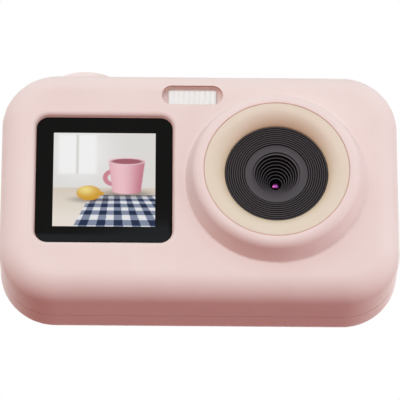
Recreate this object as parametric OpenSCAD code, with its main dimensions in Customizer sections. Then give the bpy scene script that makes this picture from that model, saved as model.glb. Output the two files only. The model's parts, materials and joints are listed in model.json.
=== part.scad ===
// Kids digital camera: a pillow shaped pocket camera with a round lens collar,
// a front screen, a ribbed flash, a shutter button, rear keys and a hinged port cover.
// Millimetres. +X is the viewer's right, the front faces -Y and +Z is up.
// Every module is drawn with y = 0 on the case's front face and is then placed in the shared frame.

/* [Case] */
// Width of the case from side to side
body_w = 91.4; // [91:0.2:96]
// Height of the case
body_h = 56.8; // [56.4:0.2:60]
// Depth of the case from its front face to its back face
body_d = 23.4; // [23.2:0.2:26]
// Radius of the four corners seen from the front
corner_r = 12.8; // [12.4:0.1:13.4]
// Rounding where the front and the back turn into the sides
edge_r = 5.9; // [5.6:0.1:6.2]
// Wall thickness of both case halves
wall = 1.8; // [1.7:0.05:1.9]
// Depth of the front half, from the front face to the joint line
split_y = 12.7; // [12.5:0.1:13]
// Width of the groove along the joint line
seam_w = 0.24; // [0.1:0.02:0.4]
// Depth of the groove along the joint line
seam_t = 0.45; // [0.1:0.05:0.5]
// Thickness of the front half's locating lip
lip_t = 0.7; // [0.5:0.05:0.8]
// Length of the locating lip
lip_h = 1.2; // [0.6:0.1:1.4]

/* [Lens] */
// Distance from the lens axis to the viewer's right side
lens_inset = 28.3; // [28.1:0.1:29]
// Height of the lens axis and the screen above the middle of the case
front_rise = 0.5; // [0:0.1:1.2]
// How far the lens collar stands out of the front face
collar_h = 5.67; // [5.4:0.05:6.2]
// Radius of the lens collar where it leaves the front face
collar_r = 20.8; // [20.6:0.1:21.2]
// Slope of the collar's side, in degrees from straight out
collar_slope = 20; // [16:1:22]
// Rounding of the collar's outer rim
collar_round = 2.3; // [2:0.1:2.5]
// Fillet at the collar's foot
foot_round = 0.5; // [0.4:0.1:0.8]
// Outer radius of the dished lens ring
ring_r = 16.6; // [16.4:0.05:16.8]
// Width of the ring's flat outer land
ring_land = 0.6; // [0.4:0.1:1]
// Radius of the ring's dished curve
ring_curve = 4.74; // [4.6:0.02:5.2]
// Radius of the black hood's front disc
hood_r = 11.7; // [11.5:0.05:11.9]
// How far the hood's front disc lies behind the collar's rim
hood_drop = 2.67; // [2.4:0.05:2.9]
// Number of fine grooves in the hood's disc
groove_count = 9; // [6:1:9]
// Distance between the grooves
groove_pitch = 0.5; // [0.46:0.01:0.51]
// Width of each groove
groove_w = 0.2; // [0.1:0.02:0.3]
// Depth of each groove
groove_t = 0.16; // [0.1:0.02:0.3]
// Outer radius of the smooth land inside the grooves
land_r = 7; // [6.6:0.1:7.1]
// Radius of the stepped funnel's mouth
mouth_r = 5.4; // [5.2:0.1:5.6]
// Depth of the funnel's first step
mouth_t = 0.4; // [0.3:0.05:0.7]
// Number of steps in the funnel
step_count = 8; // [5:1:10]
// Radius of the last funnel step
throat_r = 1.9; // [1.7:0.05:2.2]
// Depth of the funnel from the front disc to its floor
funnel_t = 6; // [5.6:0.1:6.2]
// Radius of the aperture in the funnel's floor
aperture_r = 1.4; // [1:0.05:1.6]
// Radius of the lens barrel
barrel_r = 4; // [3.8:0.05:4.2]

/* [Screens] */
// Distance from the front glass to the viewer's left side
screen_margin = 8.05; // [7.4:0.01:8.4]
// Distance from the front glass to the foot of the lens collar
screen_gap = 2.87; // [2.4:0.01:3.4]
// Distance from the front glass to the top and to the base, before it is raised
screen_border = 12.67; // [12.4:0.01:13]
// Corner radius of the front glass
glass_corner = 2.9; // [1.8:0.1:3.2]
// Thickness of the front glass
glass_t = 0.7; // [0.6:0.05:0.8]
// How far the front glass lies below the front face
glass_drop = 1; // [0.9:0.05:1.1]
// Rounding of the recess edge around the front glass
glass_round = 1; // [0.6:0.05:1]
// Width of the front glass around the display panel
panel_border = 2.53; // [2.2:0.01:2.9]
// Distance from the rear glass to the viewer's right side
rear_margin = 11.2; // [11:0.1:11.8]
// Distance from the key cross to the rear glass
keys_gap = 3.5; // [3.2:0.1:4]
// Distance from the rear glass to the top and to the base
rear_border = 8.9; // [8.6:0.1:9.4]
// Corner radius of the rear glass
rear_corner = 3; // [2:0.1:4]
// How far the rear glass lies below the back face
rear_drop = 0.5; // [0.4:0.05:0.6]
// Thickness of the rear glass
rear_t = 1; // [0.9:0.05:1.1]

/* [Flash] */
// Distance from the flash to the lens axis, across
flash_shift = 19.2; // [18.8:0.1:19.6]
// Distance from the flash to the top of the case
flash_inset = 7.1; // [7:0.05:7.4]
// Length of the flash pocket
pocket_w = 14.1; // [13.8:0.1:14.6]
// Height of the flash pocket
pocket_h = 4.9; // [4.8:0.05:5.1]
// Height of the pocket's middle above the diffuser's middle
pocket_rise = 0.35; // [0.3:0.05:0.5]
// Depth of the flash pocket
pocket_t = 1.9; // [1.6:0.05:2]
// Length of the diffuser's window
diffuser_w = 11; // [10.6:0.1:11.2]
// Height of the diffuser's window
diffuser_h = 3.5; // [3.4:0.02:3.6]
// Number of ribs on the diffuser
rib_count = 9; // [6:1:9]
// Radius of each half round rib
rib_r = 0.48; // [0.3:0.02:0.54]

/* [Shutter and keys] */
// Distance from the shutter button to the viewer's left side
shutter_inset = 19.2; // [19:0.1:19.6]
// Radius of the shutter button
shutter_r = 7.8; // [7.6:0.05:7.9]
// How far the shutter button stands out of the top
shutter_proud = 1.05; // [0.9:0.05:1.5]
// Rounding of the shutter button's rim
shutter_round = 0.5; // [0.3:0.1:0.8]
// Travel of the shutter button
shutter_travel = 0.6; // [0.3:0.1:0.7]
// Distance from the key cross to the viewer's left side
keys_inset = 17.7; // [17.5:0.1:18.2]
// Distance from the key cross to the top of the case
keys_drop = 26.8; // [26.4:0.1:27.2]
// Distance from the middle key to the outer keys
cross_r = 8.2; // [8:0.05:8.4]
// Radius of the middle key
ok_r = 3.8; // [3.4:0.05:4]
// Radius of the outer keys and the power key
key_r = 2.8; // [2.6:0.05:2.9]
// Height of the power key above the key cross
power_rise = 16.6; // [16.4:0.1:17]
// How far the keys stand out of the back face
key_proud = 0.7; // [0.5:0.05:0.9]
// Travel of each key
key_travel = 0.3; // [0.2:0.05:0.3]

/* [Port cover] */
// Height of the port cover
cover_h = 16.4; // [16:0.1:16.8]
// Length of the port cover from its free edge to its knuckle
cover_w = 11.4; // [11.2:0.1:11.6]
// Thickness of the port cover
cover_t = 1.5; // [1.4:0.05:1.6]
// How far the port cover lies below the side
cover_drop = 0.25; // [0.15:0.05:0.35]
// Distance from the port cover's middle to the top of the case
cover_inset = 21.8; // [21.4:0.1:22.2]
// Depth of the port cover's free edge behind the front face
cover_y = 5.5; // [5.4:0.05:5.7]
// Radius of the hinge pin
pin_r = 0.4; // [0.35:0.01:0.42]

/* [Clearances] */
// Gap around a moving piece
move_gap = 0.2; // [0.15:0.05:0.3]
// Gap around a fixed piece that drops into its place
fit_gap = 0.15; // [0.1:0.01:0.2]
// Radial running clearance of the hinge pin
pin_gap = 0.05; // [0.02:0.01:0.08]
// Radial clearance of a screw in its hole
screw_gap = 0.02; // [0.01:0.01:0.05]

/* [Hidden] */
$fn = 96;

// Colours
pink = "#E6D4D1";
pink_key = "#EBDAD7";
beige = "#E0D2BE";
black = "#2A2829";
ink = "#191814";
white = "#E7E6E4";
board_green = "#2F6B4A";
steel = "#B9BBBE";
amber = "#B4762F";
grey = "#6F7276";
silver_foil = "#C8CBD0";

// Case
past = 1;
side_x = body_w / 2;
mid_z = body_h / 2;
front_y = (collar_h - body_d - key_proud) / 2;
seam_half = seam_w / 2;
back_y = body_d;
back_in = back_y - wall;
top_in = body_h - wall;

// Screws
screw_r = 0.95;
screw_head_r = 1.8;
screw_head_t = 1.2;
slot_w = 0.5;
slot_t = 0.5;
small_screw_r = 0.7;
small_head_r = 1.4;
small_head_t = 0.9;
boss_r = 2.2;
case_boss_r = 2.5;
case_tube_r = 3;
head_gap = 0.3;
case_head_r = screw_head_r + head_gap;
case_sink = 4.2;
case_seat = back_y - case_sink;
case_inset = 7.5;
case_x = side_x - case_inset;
case_low = 9.6;
case_high = body_h - case_low;
case_places = [[case_x, case_low], [case_x, case_high], [-case_x, case_low], [-case_x, case_high]];
boss_root = 1;
pilot_root = 2;
pilot_end = boss_root + pilot_root;
tip_room = 1;
screw_end = pilot_end + tip_room;

// Lens
lens_x = side_x - lens_inset;
lens_z = mid_z + front_rise;
ring_seat = 1.6;
shelf_w = 2.6;
seat_r = ring_r - shelf_w;
seat_back = -0.4;
ring_bore = ring_r + fit_gap;
ring_edge = 0.25;
disc_h = collar_h - hood_drop;
flange_gap = 0.2;
hood_flange = seat_r - flange_gap;
hood_flange_t = 1.2;
land_drop = 0.15;
funnel_floor = disc_h - funnel_t;
floor_t = 0.6;
hood_back = funnel_floor - floor_t;
neck_wall = 1.4;
neck_r = mouth_r + neck_wall;
neck_h = ring_seat - hood_flange_t;
neck_len = 1.8;
tail_wall = 0.4;
tail_r = barrel_r + tail_wall;
tail_h = neck_h - neck_len;
barrel_gap = 0.1;
barrel_y = barrel_gap - hood_back;
barrel_len = 5.5;
barrel_back = barrel_y + barrel_len;
barrel_wall = 0.75;
lens_r = barrel_r - barrel_wall;
lip_w = 0.35;
lip_r = lens_r - lip_w;
lens_set = 0.7;
lens_seat = barrel_y + lens_set;
lens_rim_t = 0.8;
lens_dome = 3.9;
rear_lens_lip = 0.5;
rear_lens_r = lens_r - rear_lens_lip;
lens_space = 0.9;
rear_lens_y = lens_seat + lens_rim_t + lens_space;
rear_lens_t = 1;
rear_lens_dome = 6;
tube_set = 0.6;
tube_wall = 2;
tube_r = barrel_r + tube_wall;
bracket_set = 4.9;
bracket_y = barrel_y + bracket_set;
bracket_t = 1.4;
bracket_back = bracket_y + bracket_t;
bracket_w = 11;
bracket_screw_z = 19.5;
skirt_side = 13;
skirt_in = 10;
skirt_t = 1.2;
sensor_y = bracket_back + skirt_t;
sensor_w = 6.4;
sensor_h = 5.2;
sensor_t = 0.9;
filter_t = 0.3;
sensor_side = 16;
sensor_board_t = 0.8;

// Front screen
glass_w = body_w - screen_margin - screen_gap - collar_r - lens_inset;
glass_h = body_h - 2 * screen_border;
screen_x = screen_margin + glass_w / 2 - side_x;
glass_open_w = glass_w + 2 * fit_gap;
glass_open_h = glass_h + 2 * fit_gap;
glass_back = glass_drop + glass_t;
open_corner = glass_corner + fit_gap;
ledge_w = 1.8;
ledge_t = 1.3;
panel_w = glass_w - 2 * panel_border;
panel_h = glass_h - 2 * panel_border;
panel_gap = 0.3;
window_w = panel_w + 2 * panel_gap;
window_h = panel_h + 2 * panel_gap;
panel_t = 1;
backlight_t = 1.6;
backlight_y = glass_back + panel_t;
backlight_back = backlight_y + backlight_t;
flex_t = 0.2;

// Rear screen
rear_w = body_w - rear_margin - keys_gap - keys_inset - cross_r - key_r;
rear_h = body_h - 2 * rear_border;
rear_x = side_x - rear_margin - rear_w / 2;
rear_front = back_y - rear_drop;
rear_back = rear_front - rear_t;
rear_open_w = rear_w + 2 * fit_gap;
rear_open_h = rear_h + 2 * fit_gap;
rear_ledge = 1.7;
rear_ledge_t = 1.2;
rear_frame = 1.5;
cell_gap = 0.25;
rear_cell_w = rear_w - 2 * rear_ledge - 2 * cell_gap;
rear_cell_h = rear_h - 2 * rear_ledge - 2 * cell_gap;
rear_cell_t = 1.5;
rear_light_t = 1.8;
rear_light_y = rear_back - rear_cell_t - rear_light_t;

// Flash
flash_x = lens_x - flash_shift;
flash_z = body_h - flash_inset;
pocket_z = flash_z + pocket_rise;
flash_wall = 1.3;
flash_back = pocket_t + flash_wall;
flash_border = 1.4;
diffuser_y = 0.69;
diffuser_flange = 0.8;
diffuser_lip = 0.6;
lamp_room = 3;
flash_board_y = flash_back + lamp_room;
flash_board_t = 0.8;
flash_board_w = 22.4;
flash_board_h = 5;
flash_screw_x = 9.6;
flash_boss_r = 1.4;
lamp_side = 2.8;
lamp_pitch = 3.6;
lamp_t = 1.9;

// Shutter
shutter_x = shutter_inset - side_x;
shutter_y = body_d / 2;
shutter_top = body_h + shutter_proud;
shutter_flange = 0.7;
shutter_flange_r = shutter_r + shutter_flange;
shutter_flange_t = 1;
shutter_flange_drop = 1.4;
shutter_flange_z = top_in - shutter_flange_drop;
shutter_stem_r = 1.6;
shutter_board_drop = 9;
shutter_board_z = top_in - shutter_board_drop;
shutter_board_t = 0.8;
shutter_board_half = 8.7;
shutter_board_depth = 5.2;
switch_side = 6;
switch_t = 3.6;
switch_top = shutter_board_z + shutter_board_t + switch_t;
stem_dip = 0.3;
stem_room = 0.4;
switch_sink = stem_dip + shutter_travel + stem_room;
rib_gap = 0.1;
rib_in = shutter_board_half + rib_gap;
rib_t = 1.2;
rib_ledge = 1.4;
rib_clear = 0.2;
rib_front = flash_board_y + flash_board_t + rib_clear;

// Keys
keys_x = keys_inset - side_x;
keys_z = body_h - keys_drop;
key_places = [
    [keys_x, keys_z + power_rise, key_r],
    [keys_x, keys_z + cross_r, key_r],
    [keys_x, keys_z - cross_r, key_r],
    [keys_x + cross_r, keys_z, key_r],
    [keys_x - cross_r, keys_z, key_r],
    [keys_x, keys_z, ok_r],
];
key_round = 0.4;
key_flange = 0.6;
key_flange_t = 0.6;
key_flange_gap = 0.3;
key_flange_y = back_in - key_flange_gap;
key_stem_r = 1;
key_board_drop = 5.4;
key_board_back = back_y - key_board_drop;
key_board_t = 1;
key_board_y = key_board_back - key_board_t;
key_switch_side = 4.6;
key_switch_t = 1.6;
key_switch_y = key_board_back + key_switch_t;
key_switch_sink = stem_dip + key_travel + stem_room;
key_boss_r = 1.7;
key_screw_left = 8.6;
key_screw_right = 9.6;
key_screw_far = 10.4;
key_screw_low = 9.6;
key_screw_high = 10.8;
key_screw_places = [
    [keys_x - key_screw_left, keys_z - key_screw_low],
    [keys_x + key_screw_right, keys_z - key_screw_low],
    [keys_x + key_screw_far, keys_z + key_screw_high],
];
key_edge = 1.6;
key_edge_left = 4;
key_edge_right = 2.6;
key_board_left = keys_x - key_screw_left - key_edge_left;
key_board_right = keys_x + key_screw_far + key_edge_right;
key_board_low = keys_z - key_screw_low - key_edge;
key_board_high = keys_z + key_screw_high + key_edge_right;
key_tab_side = 6.4;
key_tab_rise = 3.2;
key_tab_left = keys_x - key_tab_side;
key_tab_high = keys_z + power_rise + key_tab_rise;

// Small parts on the back
pipe_shift = 7.4;
pipe_x = keys_x + pipe_shift;
pipe_z = keys_z + power_rise;
pipe_r = 1.1;
pipe_flange_r = 1.8;
pipe_flange_t = 0.6;
lamp_chip = 1.6;
lamp_chip_t = 0.6;
mic_shift = 6.6;
mic_drop = 5.6;
mic_x = keys_x - mic_shift;
mic_z = keys_z + power_rise - mic_drop;
mic_r = 2;
mic_t = 1.5;
hole_r = 0.6;
speaker_x = keys_x;
speaker_gap = 2.8;
speaker_low = 6;
speaker_high = keys_z - cross_r - key_r - key_flange - speaker_gap;
speaker_w = 13;
speaker_h = speaker_high - speaker_low;
speaker_z = (speaker_low + speaker_high) / 2;
speaker_t = 3;
speaker_round = 2;
speaker_corner = min(speaker_round, speaker_h / 2 - fit_gap);
speaker_pitch = 2.2;
speaker_edge = 1.7;
speaker_steps = floor((speaker_h - 2 * speaker_edge) / speaker_pitch);

// Main board
board_gap = 1.4;
board_y = sensor_y + sensor_board_t + board_gap;
board_t = 1;
board_back = board_y + board_t;
board_space = 8.5;
board_left = key_board_right + board_space;
board_reach = 17.7;
board_right = lens_x + board_reach;
board_low = 6;
board_head = 6.3;
board_high = body_h - board_head;
ear_inset = 3.8;
ear_drop = 9.6;
ear_rise = 8.4;
cover_z = body_h - cover_inset;
ear_right = side_x - ear_inset;
ear_low = cover_z - ear_drop;
ear_high = cover_z + ear_rise;
board_edge = 2.9;
board_edge_right = 3;
board_edge_left_low = 3.5;
board_edge_low = 2.5;
board_edge_high = 4;
flash_clear = 1.8;
board_screw_left = board_left + board_edge;
board_screw_right = board_right - board_edge_right;
board_places = [
    [board_screw_left, board_low + board_edge_left_low],
    [board_screw_left, flash_z - flash_board_h / 2 - flash_clear - boss_r],
    [board_screw_right, board_low + board_edge_low],
    [board_screw_right, board_high - board_edge_high],
];

// Port cover and ports
cover_out = side_x - cover_drop;
cover_in = cover_out - cover_t;
cover_low = cover_z - cover_h / 2;
cover_high = cover_z + cover_h / 2;
knuckle_r = cover_t / 2;
pin_x = cover_out - knuckle_r;
pin_y = cover_y + cover_w - knuckle_r;
pin_reach = 1.4;
nail_r = 2.4;
nail_t = 0.6;
bay_gap = 0.25;
bay_floor = cover_in - bay_gap;
bay_wall = 1.5;
bay_in = bay_floor - bay_wall;
bay_border = 1.6;
bay_front = cover_y - move_gap;
bay_rear = cover_y + cover_w + move_gap;
usb_w = 8.94;
usb_h = 3.26;
usb_wall = 0.3;
usb_len = 7.3;
usb_set = 0.2;
usb_end = bay_floor - usb_set;
usb_y = board_y - usb_h / 2;
tongue_w = 6.7;
tongue_t = 0.7;
tongue_len = 5.6;
usb_back_t = 1;
port_gap = 0.25;
socket_len = 14.6;
socket_w = 12.6;
socket_t = 1.9;
socket_right = ear_right;
card_w = 11;
card_t = 0.8;
card_len = 15;
card_set = 0.4;
card_lift = 0.5;
card_end = bay_floor - card_set;
card_y = board_back + card_lift;

// Power and chips
battery_side_gap = 5.8;
battery_boss_gap = 2.3;
battery_low_gap = 2;
battery_high_gap = 0.7;
battery_left = wall + battery_side_gap - side_x;
battery_right = board_screw_left - boss_r - battery_boss_gap;
battery_low = case_low + case_boss_r + battery_low_gap;
battery_high = shutter_board_z - rib_t - battery_high_gap;
battery_t = 5.8;
battery_corner = 2;
pad_t = 1.6;
pad_border = 4;
pad_flex_gap = 4.2;
battery_y = backlight_back + pad_t;
plug_w = 6;
plug_h = 4;
plug_t = 3;
plug_edge = 1.5;
plug_rise = 2;
plug_x = board_left + plug_edge;
plug_z = mid_z + plug_rise;
chip_side = 10;
chip_t = 1.1;
chip_shift = 10;
chip_x = lens_x - chip_shift;
chip_z = mid_z - chip_side;
memory_w = 6;
memory_h = 8;
memory_shift = 8;
memory_rise = 6;
memory_x = lens_x - memory_shift;
memory_z = mid_z + memory_rise;

// Flat cables
flex_edge = 1;
flex_turn = board_left + flex_edge;
flex_grip = 3;
front_flex_w = 7;
front_flex_x = min(screen_x + panel_w / 2, flex_turn) - flex_grip;
front_flex_z = [lens_z - flex_grip - front_flex_w, lens_z - flex_grip];
key_flex_drop = 2;
key_flex_rise = 4;
key_flex_z = [keys_z - key_flex_drop, keys_z + key_flex_rise];
rear_flex_z = mid_z - rear_cell_h / 2 + flex_edge;

// A box between two limits on each axis
module span(x, y, z) {
    translate([x[0], y[0], z[0]])
        cube([x[1] - x[0], y[1] - y[0], z[1] - z[0]]);
}

// A round bar along the depth
module rod(x, z, y, r) {
    translate([x, y[0], z])
        rotate([-90, 0, 0])
            cylinder(r = r, h = y[1] - y[0]);
}

// A round bar along the height
module post(x, y, z, r) {
    translate([x, y, z[0]])
        cylinder(r = r, h = z[1] - z[0]);
}

// A quarter of a disc in the first quadrant
module quarter(r) {
    intersection() {
        circle(r);
        square(r + past);
    }
}

// Sweeps a profile (outward, depth) around a rectangle of corner centres
module sweep_round(w, h) {
    for (turn = [0, 180])
        rotate([0, turn, 0])
            translate([w / 2, 0, -h / 2])
                linear_extrude(h)
                    children();
    for (turn = [-90, 90])
        rotate([0, turn, 0])
            translate([h / 2, 0, -w / 2])
                linear_extrude(w)
                    children();
    for (corner = [[1, 1, 0], [1, -1, 90], [-1, -1, 180], [-1, 1, 270]])
        translate([corner[0] * w / 2, 0, corner[1] * h / 2])
            rotate([0, corner[2], 0])
                rotate([-90, 0, 0])
                    rotate([0, 0, -90])
                        rotate_extrude(angle = 90)
                            children();
}

// A block with rounded corners seen from the front
module rounded_block(w, h, d, r) {
    translate([r - w / 2, 0, r - h / 2])
        cube([w - 2 * r, d, h - 2 * r]);
    sweep_round(w - 2 * r, h - 2 * r)
        square([r, d]);
}

// A block with rounded corners whose front edge is rounded as well
module pillow_half(w, h, d, corner, edge) {
    translate([corner - w / 2, 0, corner - h / 2])
        cube([w - 2 * corner, d, h - 2 * corner]);
    sweep_round(w - 2 * corner, h - 2 * corner) {
        union() {
            square([corner - edge, d]);
            translate([corner - edge, edge])
                square([edge, d - edge]);
            translate([corner - edge, edge])
                rotate(-90)
                    quarter(edge);
        }
    }
}

// Turns a profile (radius, height out of the front face) about the lens axis
module about_lens() {
    translate([lens_x, 0, lens_z])
        rotate([90, 0, 0])
            rotate_extrude()
                children();
}

// A flat bar with round ends, long side along X of the drawing
module stadium(length, height) {
    square([length - height, height], center = true);
    for (side = [0, 180])
        rotate(side)
            translate([(length - height) / 2, 0])
                rotate(-90)
                    intersection() {
                        circle(height / 2);
                        translate([-height, 0])
                            square([2 * height, height]);
                    }
}

// Moves a drawing made from the case's front face into the shared frame
module placed() {
    translate([0, front_y, 0])
        children();
}

// A cross recessed screw whose head rests at y and whose shank points to the front
module cross_screw(x, z, y, end, r, head_r, head_t) {
    rod(x, z, [end, y], r);
    difference() {
        rod(x, z, [y, y + head_t], head_r);
        for (turn = [0, 90])
            translate([x, y + head_t, z])
                rotate([0, turn, 0])
                    cube([2 * head_r - slot_t, 2 * slot_t, slot_w], center = true);
    }
}

// Pocket for the port cover in the viewer's right side
module port_bay() {
    span([bay_floor, side_x + past], [bay_front, bay_rear], [cover_low - move_gap, cover_high + move_gap]);
}

// Openings in the bay's floor for the plug and the card
module port_openings() {
    translate([bay_in - past, usb_y, cover_z])
        rotate([0, 90, 0])
            linear_extrude(bay_wall + 2 * past)
                stadium(usb_w + 2 * port_gap, usb_h + 2 * port_gap);
    span([bay_in - past, bay_floor + past], [card_y - port_gap, card_y + card_t + port_gap],
        [cover_z - card_w / 2 - port_gap, cover_z + card_w / 2 + port_gap]);
}

// Hole for the shutter button in the top
module shutter_hole() {
    post(shutter_x, shutter_y, [top_in - past, body_h + past], shutter_r + move_gap);
}

// Thickened wall behind the port bay between two depths
module bay_pad(y) {
    span([bay_in, side_x - wall / 2], y, [cover_low - bay_border, cover_high + bay_border]);
}

// Ring that stands inside the wall of one case half, between two insets
module inset_ring(y, outer, inner) {
    translate([0, y[0], mid_z]) {
        difference() {
            rounded_block(body_w - 2 * outer, body_h - 2 * outer, y[1] - y[0], corner_r - outer);
            translate([0, -past, 0])
                rounded_block(body_w - 2 * inner, body_h - 2 * inner, y[1] - y[0] + 2 * past,
                    corner_r - inner);
        }
    }
}

// Lens collar, its foot fillet and the shelf that carries the lens ring
module lens_collar() {
    out = [cos(collar_slope), sin(collar_slope)];
    crown_h = collar_h - collar_round;
    crown_r = collar_r - (collar_round + crown_h * out[1]) / out[0];
    crown = [crown_r, crown_h];
    shoulder = crown + collar_round * out;
    foot_t = foot_round / tan(45 + collar_slope / 2);
    foot_top = [collar_r - foot_t * out[1], foot_t * out[0]];
    about_lens() {
        union() {
            translate([ring_bore, -wall])
                square([collar_r - ring_bore, wall]);
            polygon([[ring_bore, 0], [collar_r, 0], shoulder, crown,
                [crown_r, collar_h], [ring_bore, collar_h]]);
            translate(crown)
                intersection() {
                    circle(collar_round);
                    polygon([[0, 0], collar_h * out, [collar_h, collar_h], [0, collar_h]]);
                }
            translate([seat_r, seat_back])
                square([ring_bore - seat_r, ring_seat - seat_back]);
            difference() {
                polygon([[collar_r, 0], [collar_r + foot_t, 0], [collar_r + foot_t, foot_round], foot_top]);
                translate([collar_r + foot_t, foot_round])
                    circle(foot_round);
            }
        }
    }
}

// Rounded recess edge and ledge of the front screen
module screen_frame() {
    translate([screen_x, 0, lens_z]) {
        sweep_round(glass_open_w - 2 * open_corner, glass_open_h - 2 * open_corner) {
            union() {
                translate([open_corner + glass_round, glass_round])
                    rotate(180)
                        quarter(glass_round);
                translate([open_corner, glass_round])
                    square([glass_round, glass_back - glass_round]);
            }
        }
        translate([0, glass_back, 0])
            difference() {
                rounded_block(glass_open_w + 2 * ledge_w, glass_open_h + 2 * ledge_w, ledge_t, open_corner);
                span([-window_w / 2, window_w / 2], [-past, ledge_t + past], [-window_h / 2, window_h / 2]);
            }
    }
}

// Flash pocket and the diffuser's window in its floor
module flash_opening() {
    translate([flash_x, pocket_t, pocket_z])
        rotate([90, 0, 0])
            linear_extrude(pocket_t + past)
                stadium(pocket_w, pocket_h);
    span([flash_x - diffuser_w / 2 - fit_gap, flash_x + diffuser_w / 2 + fit_gap],
        [0, flash_back + past],
        [flash_z - diffuser_h / 2 - fit_gap, flash_z + diffuser_h / 2 + fit_gap]);
}

// Walls and floor of the flash pocket
module flash_floor() {
    difference() {
        span([flash_x - pocket_w / 2 - flash_border, flash_x + pocket_w / 2 + flash_border],
            [boss_root, flash_back],
            [pocket_z - pocket_h / 2 - flash_border / 2, pocket_z + pocket_h / 2 + flash_border / 2]);
        flash_opening();
    }
    for (side = [-1, 1])
        rod(flash_x + side * flash_screw_x, flash_z, [boss_root, flash_board_y], flash_boss_r);
}

// Two hanging ribs with ledges for the shutter board
module switch_ribs() {
    for (side = [0, 1])
        translate([shutter_x, 0, 0])
            mirror([side, 0, 0]) {
                span([rib_in, rib_in + rib_t], [rib_front, split_y],
                    [shutter_board_z - rib_t, top_in + wall / 3]);
                span([rib_in - rib_ledge, rib_in], [rib_front, split_y],
                    [shutter_board_z - rib_t, shutter_board_z]);
            }
}

module front_shell() {
    placed() color(pink) difference() {
        union() {
            difference() {
                union() {
                    translate([0, 0, mid_z])
                        pillow_half(body_w, body_h, split_y - seam_half, corner_r, edge_r);
                    translate([0, split_y - seam_half, mid_z])
                        rounded_block(body_w - 2 * seam_t, body_h - 2 * seam_t, seam_half, corner_r - seam_t);
                }
                translate([0, wall, mid_z])
                    pillow_half(body_w - 2 * wall, body_h - 2 * wall, split_y,
                        corner_r - wall, edge_r - wall);
                rod(lens_x, lens_z, [-past, wall + past], collar_r);
                translate([screen_x, -past, lens_z])
                    rounded_block(glass_open_w + 2 * glass_round, glass_open_h + 2 * glass_round,
                        glass_back + past, open_corner + glass_round);
                span([screen_x - window_w / 2, screen_x + window_w / 2], [0, wall + past],
                    [lens_z - window_h / 2, lens_z + window_h / 2]);
                flash_opening();
            }
            inset_ring([split_y, split_y + lip_h], wall - lip_t, wall);
            lens_collar();
            screen_frame();
            flash_floor();
            switch_ribs();
            bay_pad([cover_y - bay_border, split_y]);
            for (place = case_places)
                rod(place[0], place[1], [boss_root, split_y], case_boss_r);
            for (place = board_places)
                rod(place[0], place[1], [boss_root, board_y], boss_r);
            for (side = [-1, 1])
                rod(lens_x, lens_z + side * bracket_screw_z, [boss_root, bracket_y], boss_r);
        }
        port_bay();
        port_openings();
        shutter_hole();
        for (place = case_places)
            rod(place[0], place[1], [pilot_end, split_y + past], screw_r + screw_gap);
        for (place = board_places)
            rod(place[0], place[1], [pilot_end, board_y + past], small_screw_r + screw_gap);
        for (side = [-1, 1])
            rod(lens_x, lens_z + side * bracket_screw_z, [pilot_end, bracket_y + past],
                small_screw_r + screw_gap);
        for (side = [-1, 1])
            rod(flash_x + side * flash_screw_x, flash_z, [pilot_end, flash_board_y + past],
                small_screw_r + screw_gap);
    }
}

// Window and ledge of the rear screen
module rear_frame_solid() {
    translate([rear_x, rear_back - rear_ledge_t, mid_z])
        rounded_block(rear_open_w + 2 * rear_frame, rear_open_h + 2 * rear_frame, rear_ledge_t + past,
            rear_corner + rear_frame);
}

module rear_shell() {
    placed() color(pink) difference() {
        union() {
            difference() {
                union() {
                    translate([0, back_y, mid_z])
                        mirror([0, 1, 0])
                            pillow_half(body_w, body_h, back_y - split_y - seam_half, corner_r, edge_r);
                    translate([0, split_y, mid_z])
                        rounded_block(body_w - 2 * seam_t, body_h - 2 * seam_t, seam_half, corner_r - seam_t);
                }
                translate([0, back_in, mid_z])
                    mirror([0, 1, 0])
                        pillow_half(body_w - 2 * wall, body_h - 2 * wall, back_in - split_y + past,
                            corner_r - wall, edge_r - wall);
            }
            rear_frame_solid();
            bay_pad([split_y, bay_rear + bay_border]);
            for (place = case_places)
                rod(place[0], place[1], [split_y, back_y - boss_root], case_tube_r);
            for (place = key_screw_places)
                rod(place[0], place[1], [key_board_back, back_y - boss_root], key_boss_r);
        }
        inset_ring([split_y - past, split_y + lip_h + fit_gap], wall - lip_t - fit_gap, 2 * wall);
        translate([rear_x, rear_back, mid_z])
            rounded_block(rear_open_w, rear_open_h, rear_t + rear_drop + past, rear_corner + fit_gap);
        translate([rear_x, rear_back - rear_ledge_t - past, mid_z])
            span([-rear_w / 2 + rear_ledge, rear_w / 2 - rear_ledge], [0, rear_ledge_t + 2 * past],
                [-rear_h / 2 + rear_ledge, rear_h / 2 - rear_ledge]);
        port_bay();
        port_openings();
        post(pin_x, pin_y, [cover_low - pin_reach, cover_high + pin_reach], pin_r + screw_gap);
        shutter_hole();
        for (place = key_places)
            rod(place[0], place[1], [back_in - past, back_y + past], place[2] + move_gap);
        for (place = case_places) {
            rod(place[0], place[1], [split_y - past, back_y], screw_r + fit_gap);
            rod(place[0], place[1], [case_seat, back_y + past], case_head_r);
        }
        for (place = key_screw_places)
            rod(place[0], place[1], [key_board_back - past, back_in], small_screw_r + screw_gap);
        rod(pipe_x, pipe_z, [back_in - past, back_y + past], pipe_r + fit_gap);
        rod(mic_x, mic_z, [back_in - past, back_y + past], hole_r);
        for (column = [-2 : 2], row = [0 : speaker_steps])
            rod(speaker_x + column * speaker_pitch, speaker_z + (row - speaker_steps / 2) * speaker_pitch,
                [back_in - past, back_y + past], hole_r);
    }
}

module case_screws() {
    placed() color(steel)
        for (place = case_places)
            cross_screw(place[0], place[1], case_seat, screw_end, screw_r, screw_head_r, screw_head_t);
}

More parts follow.
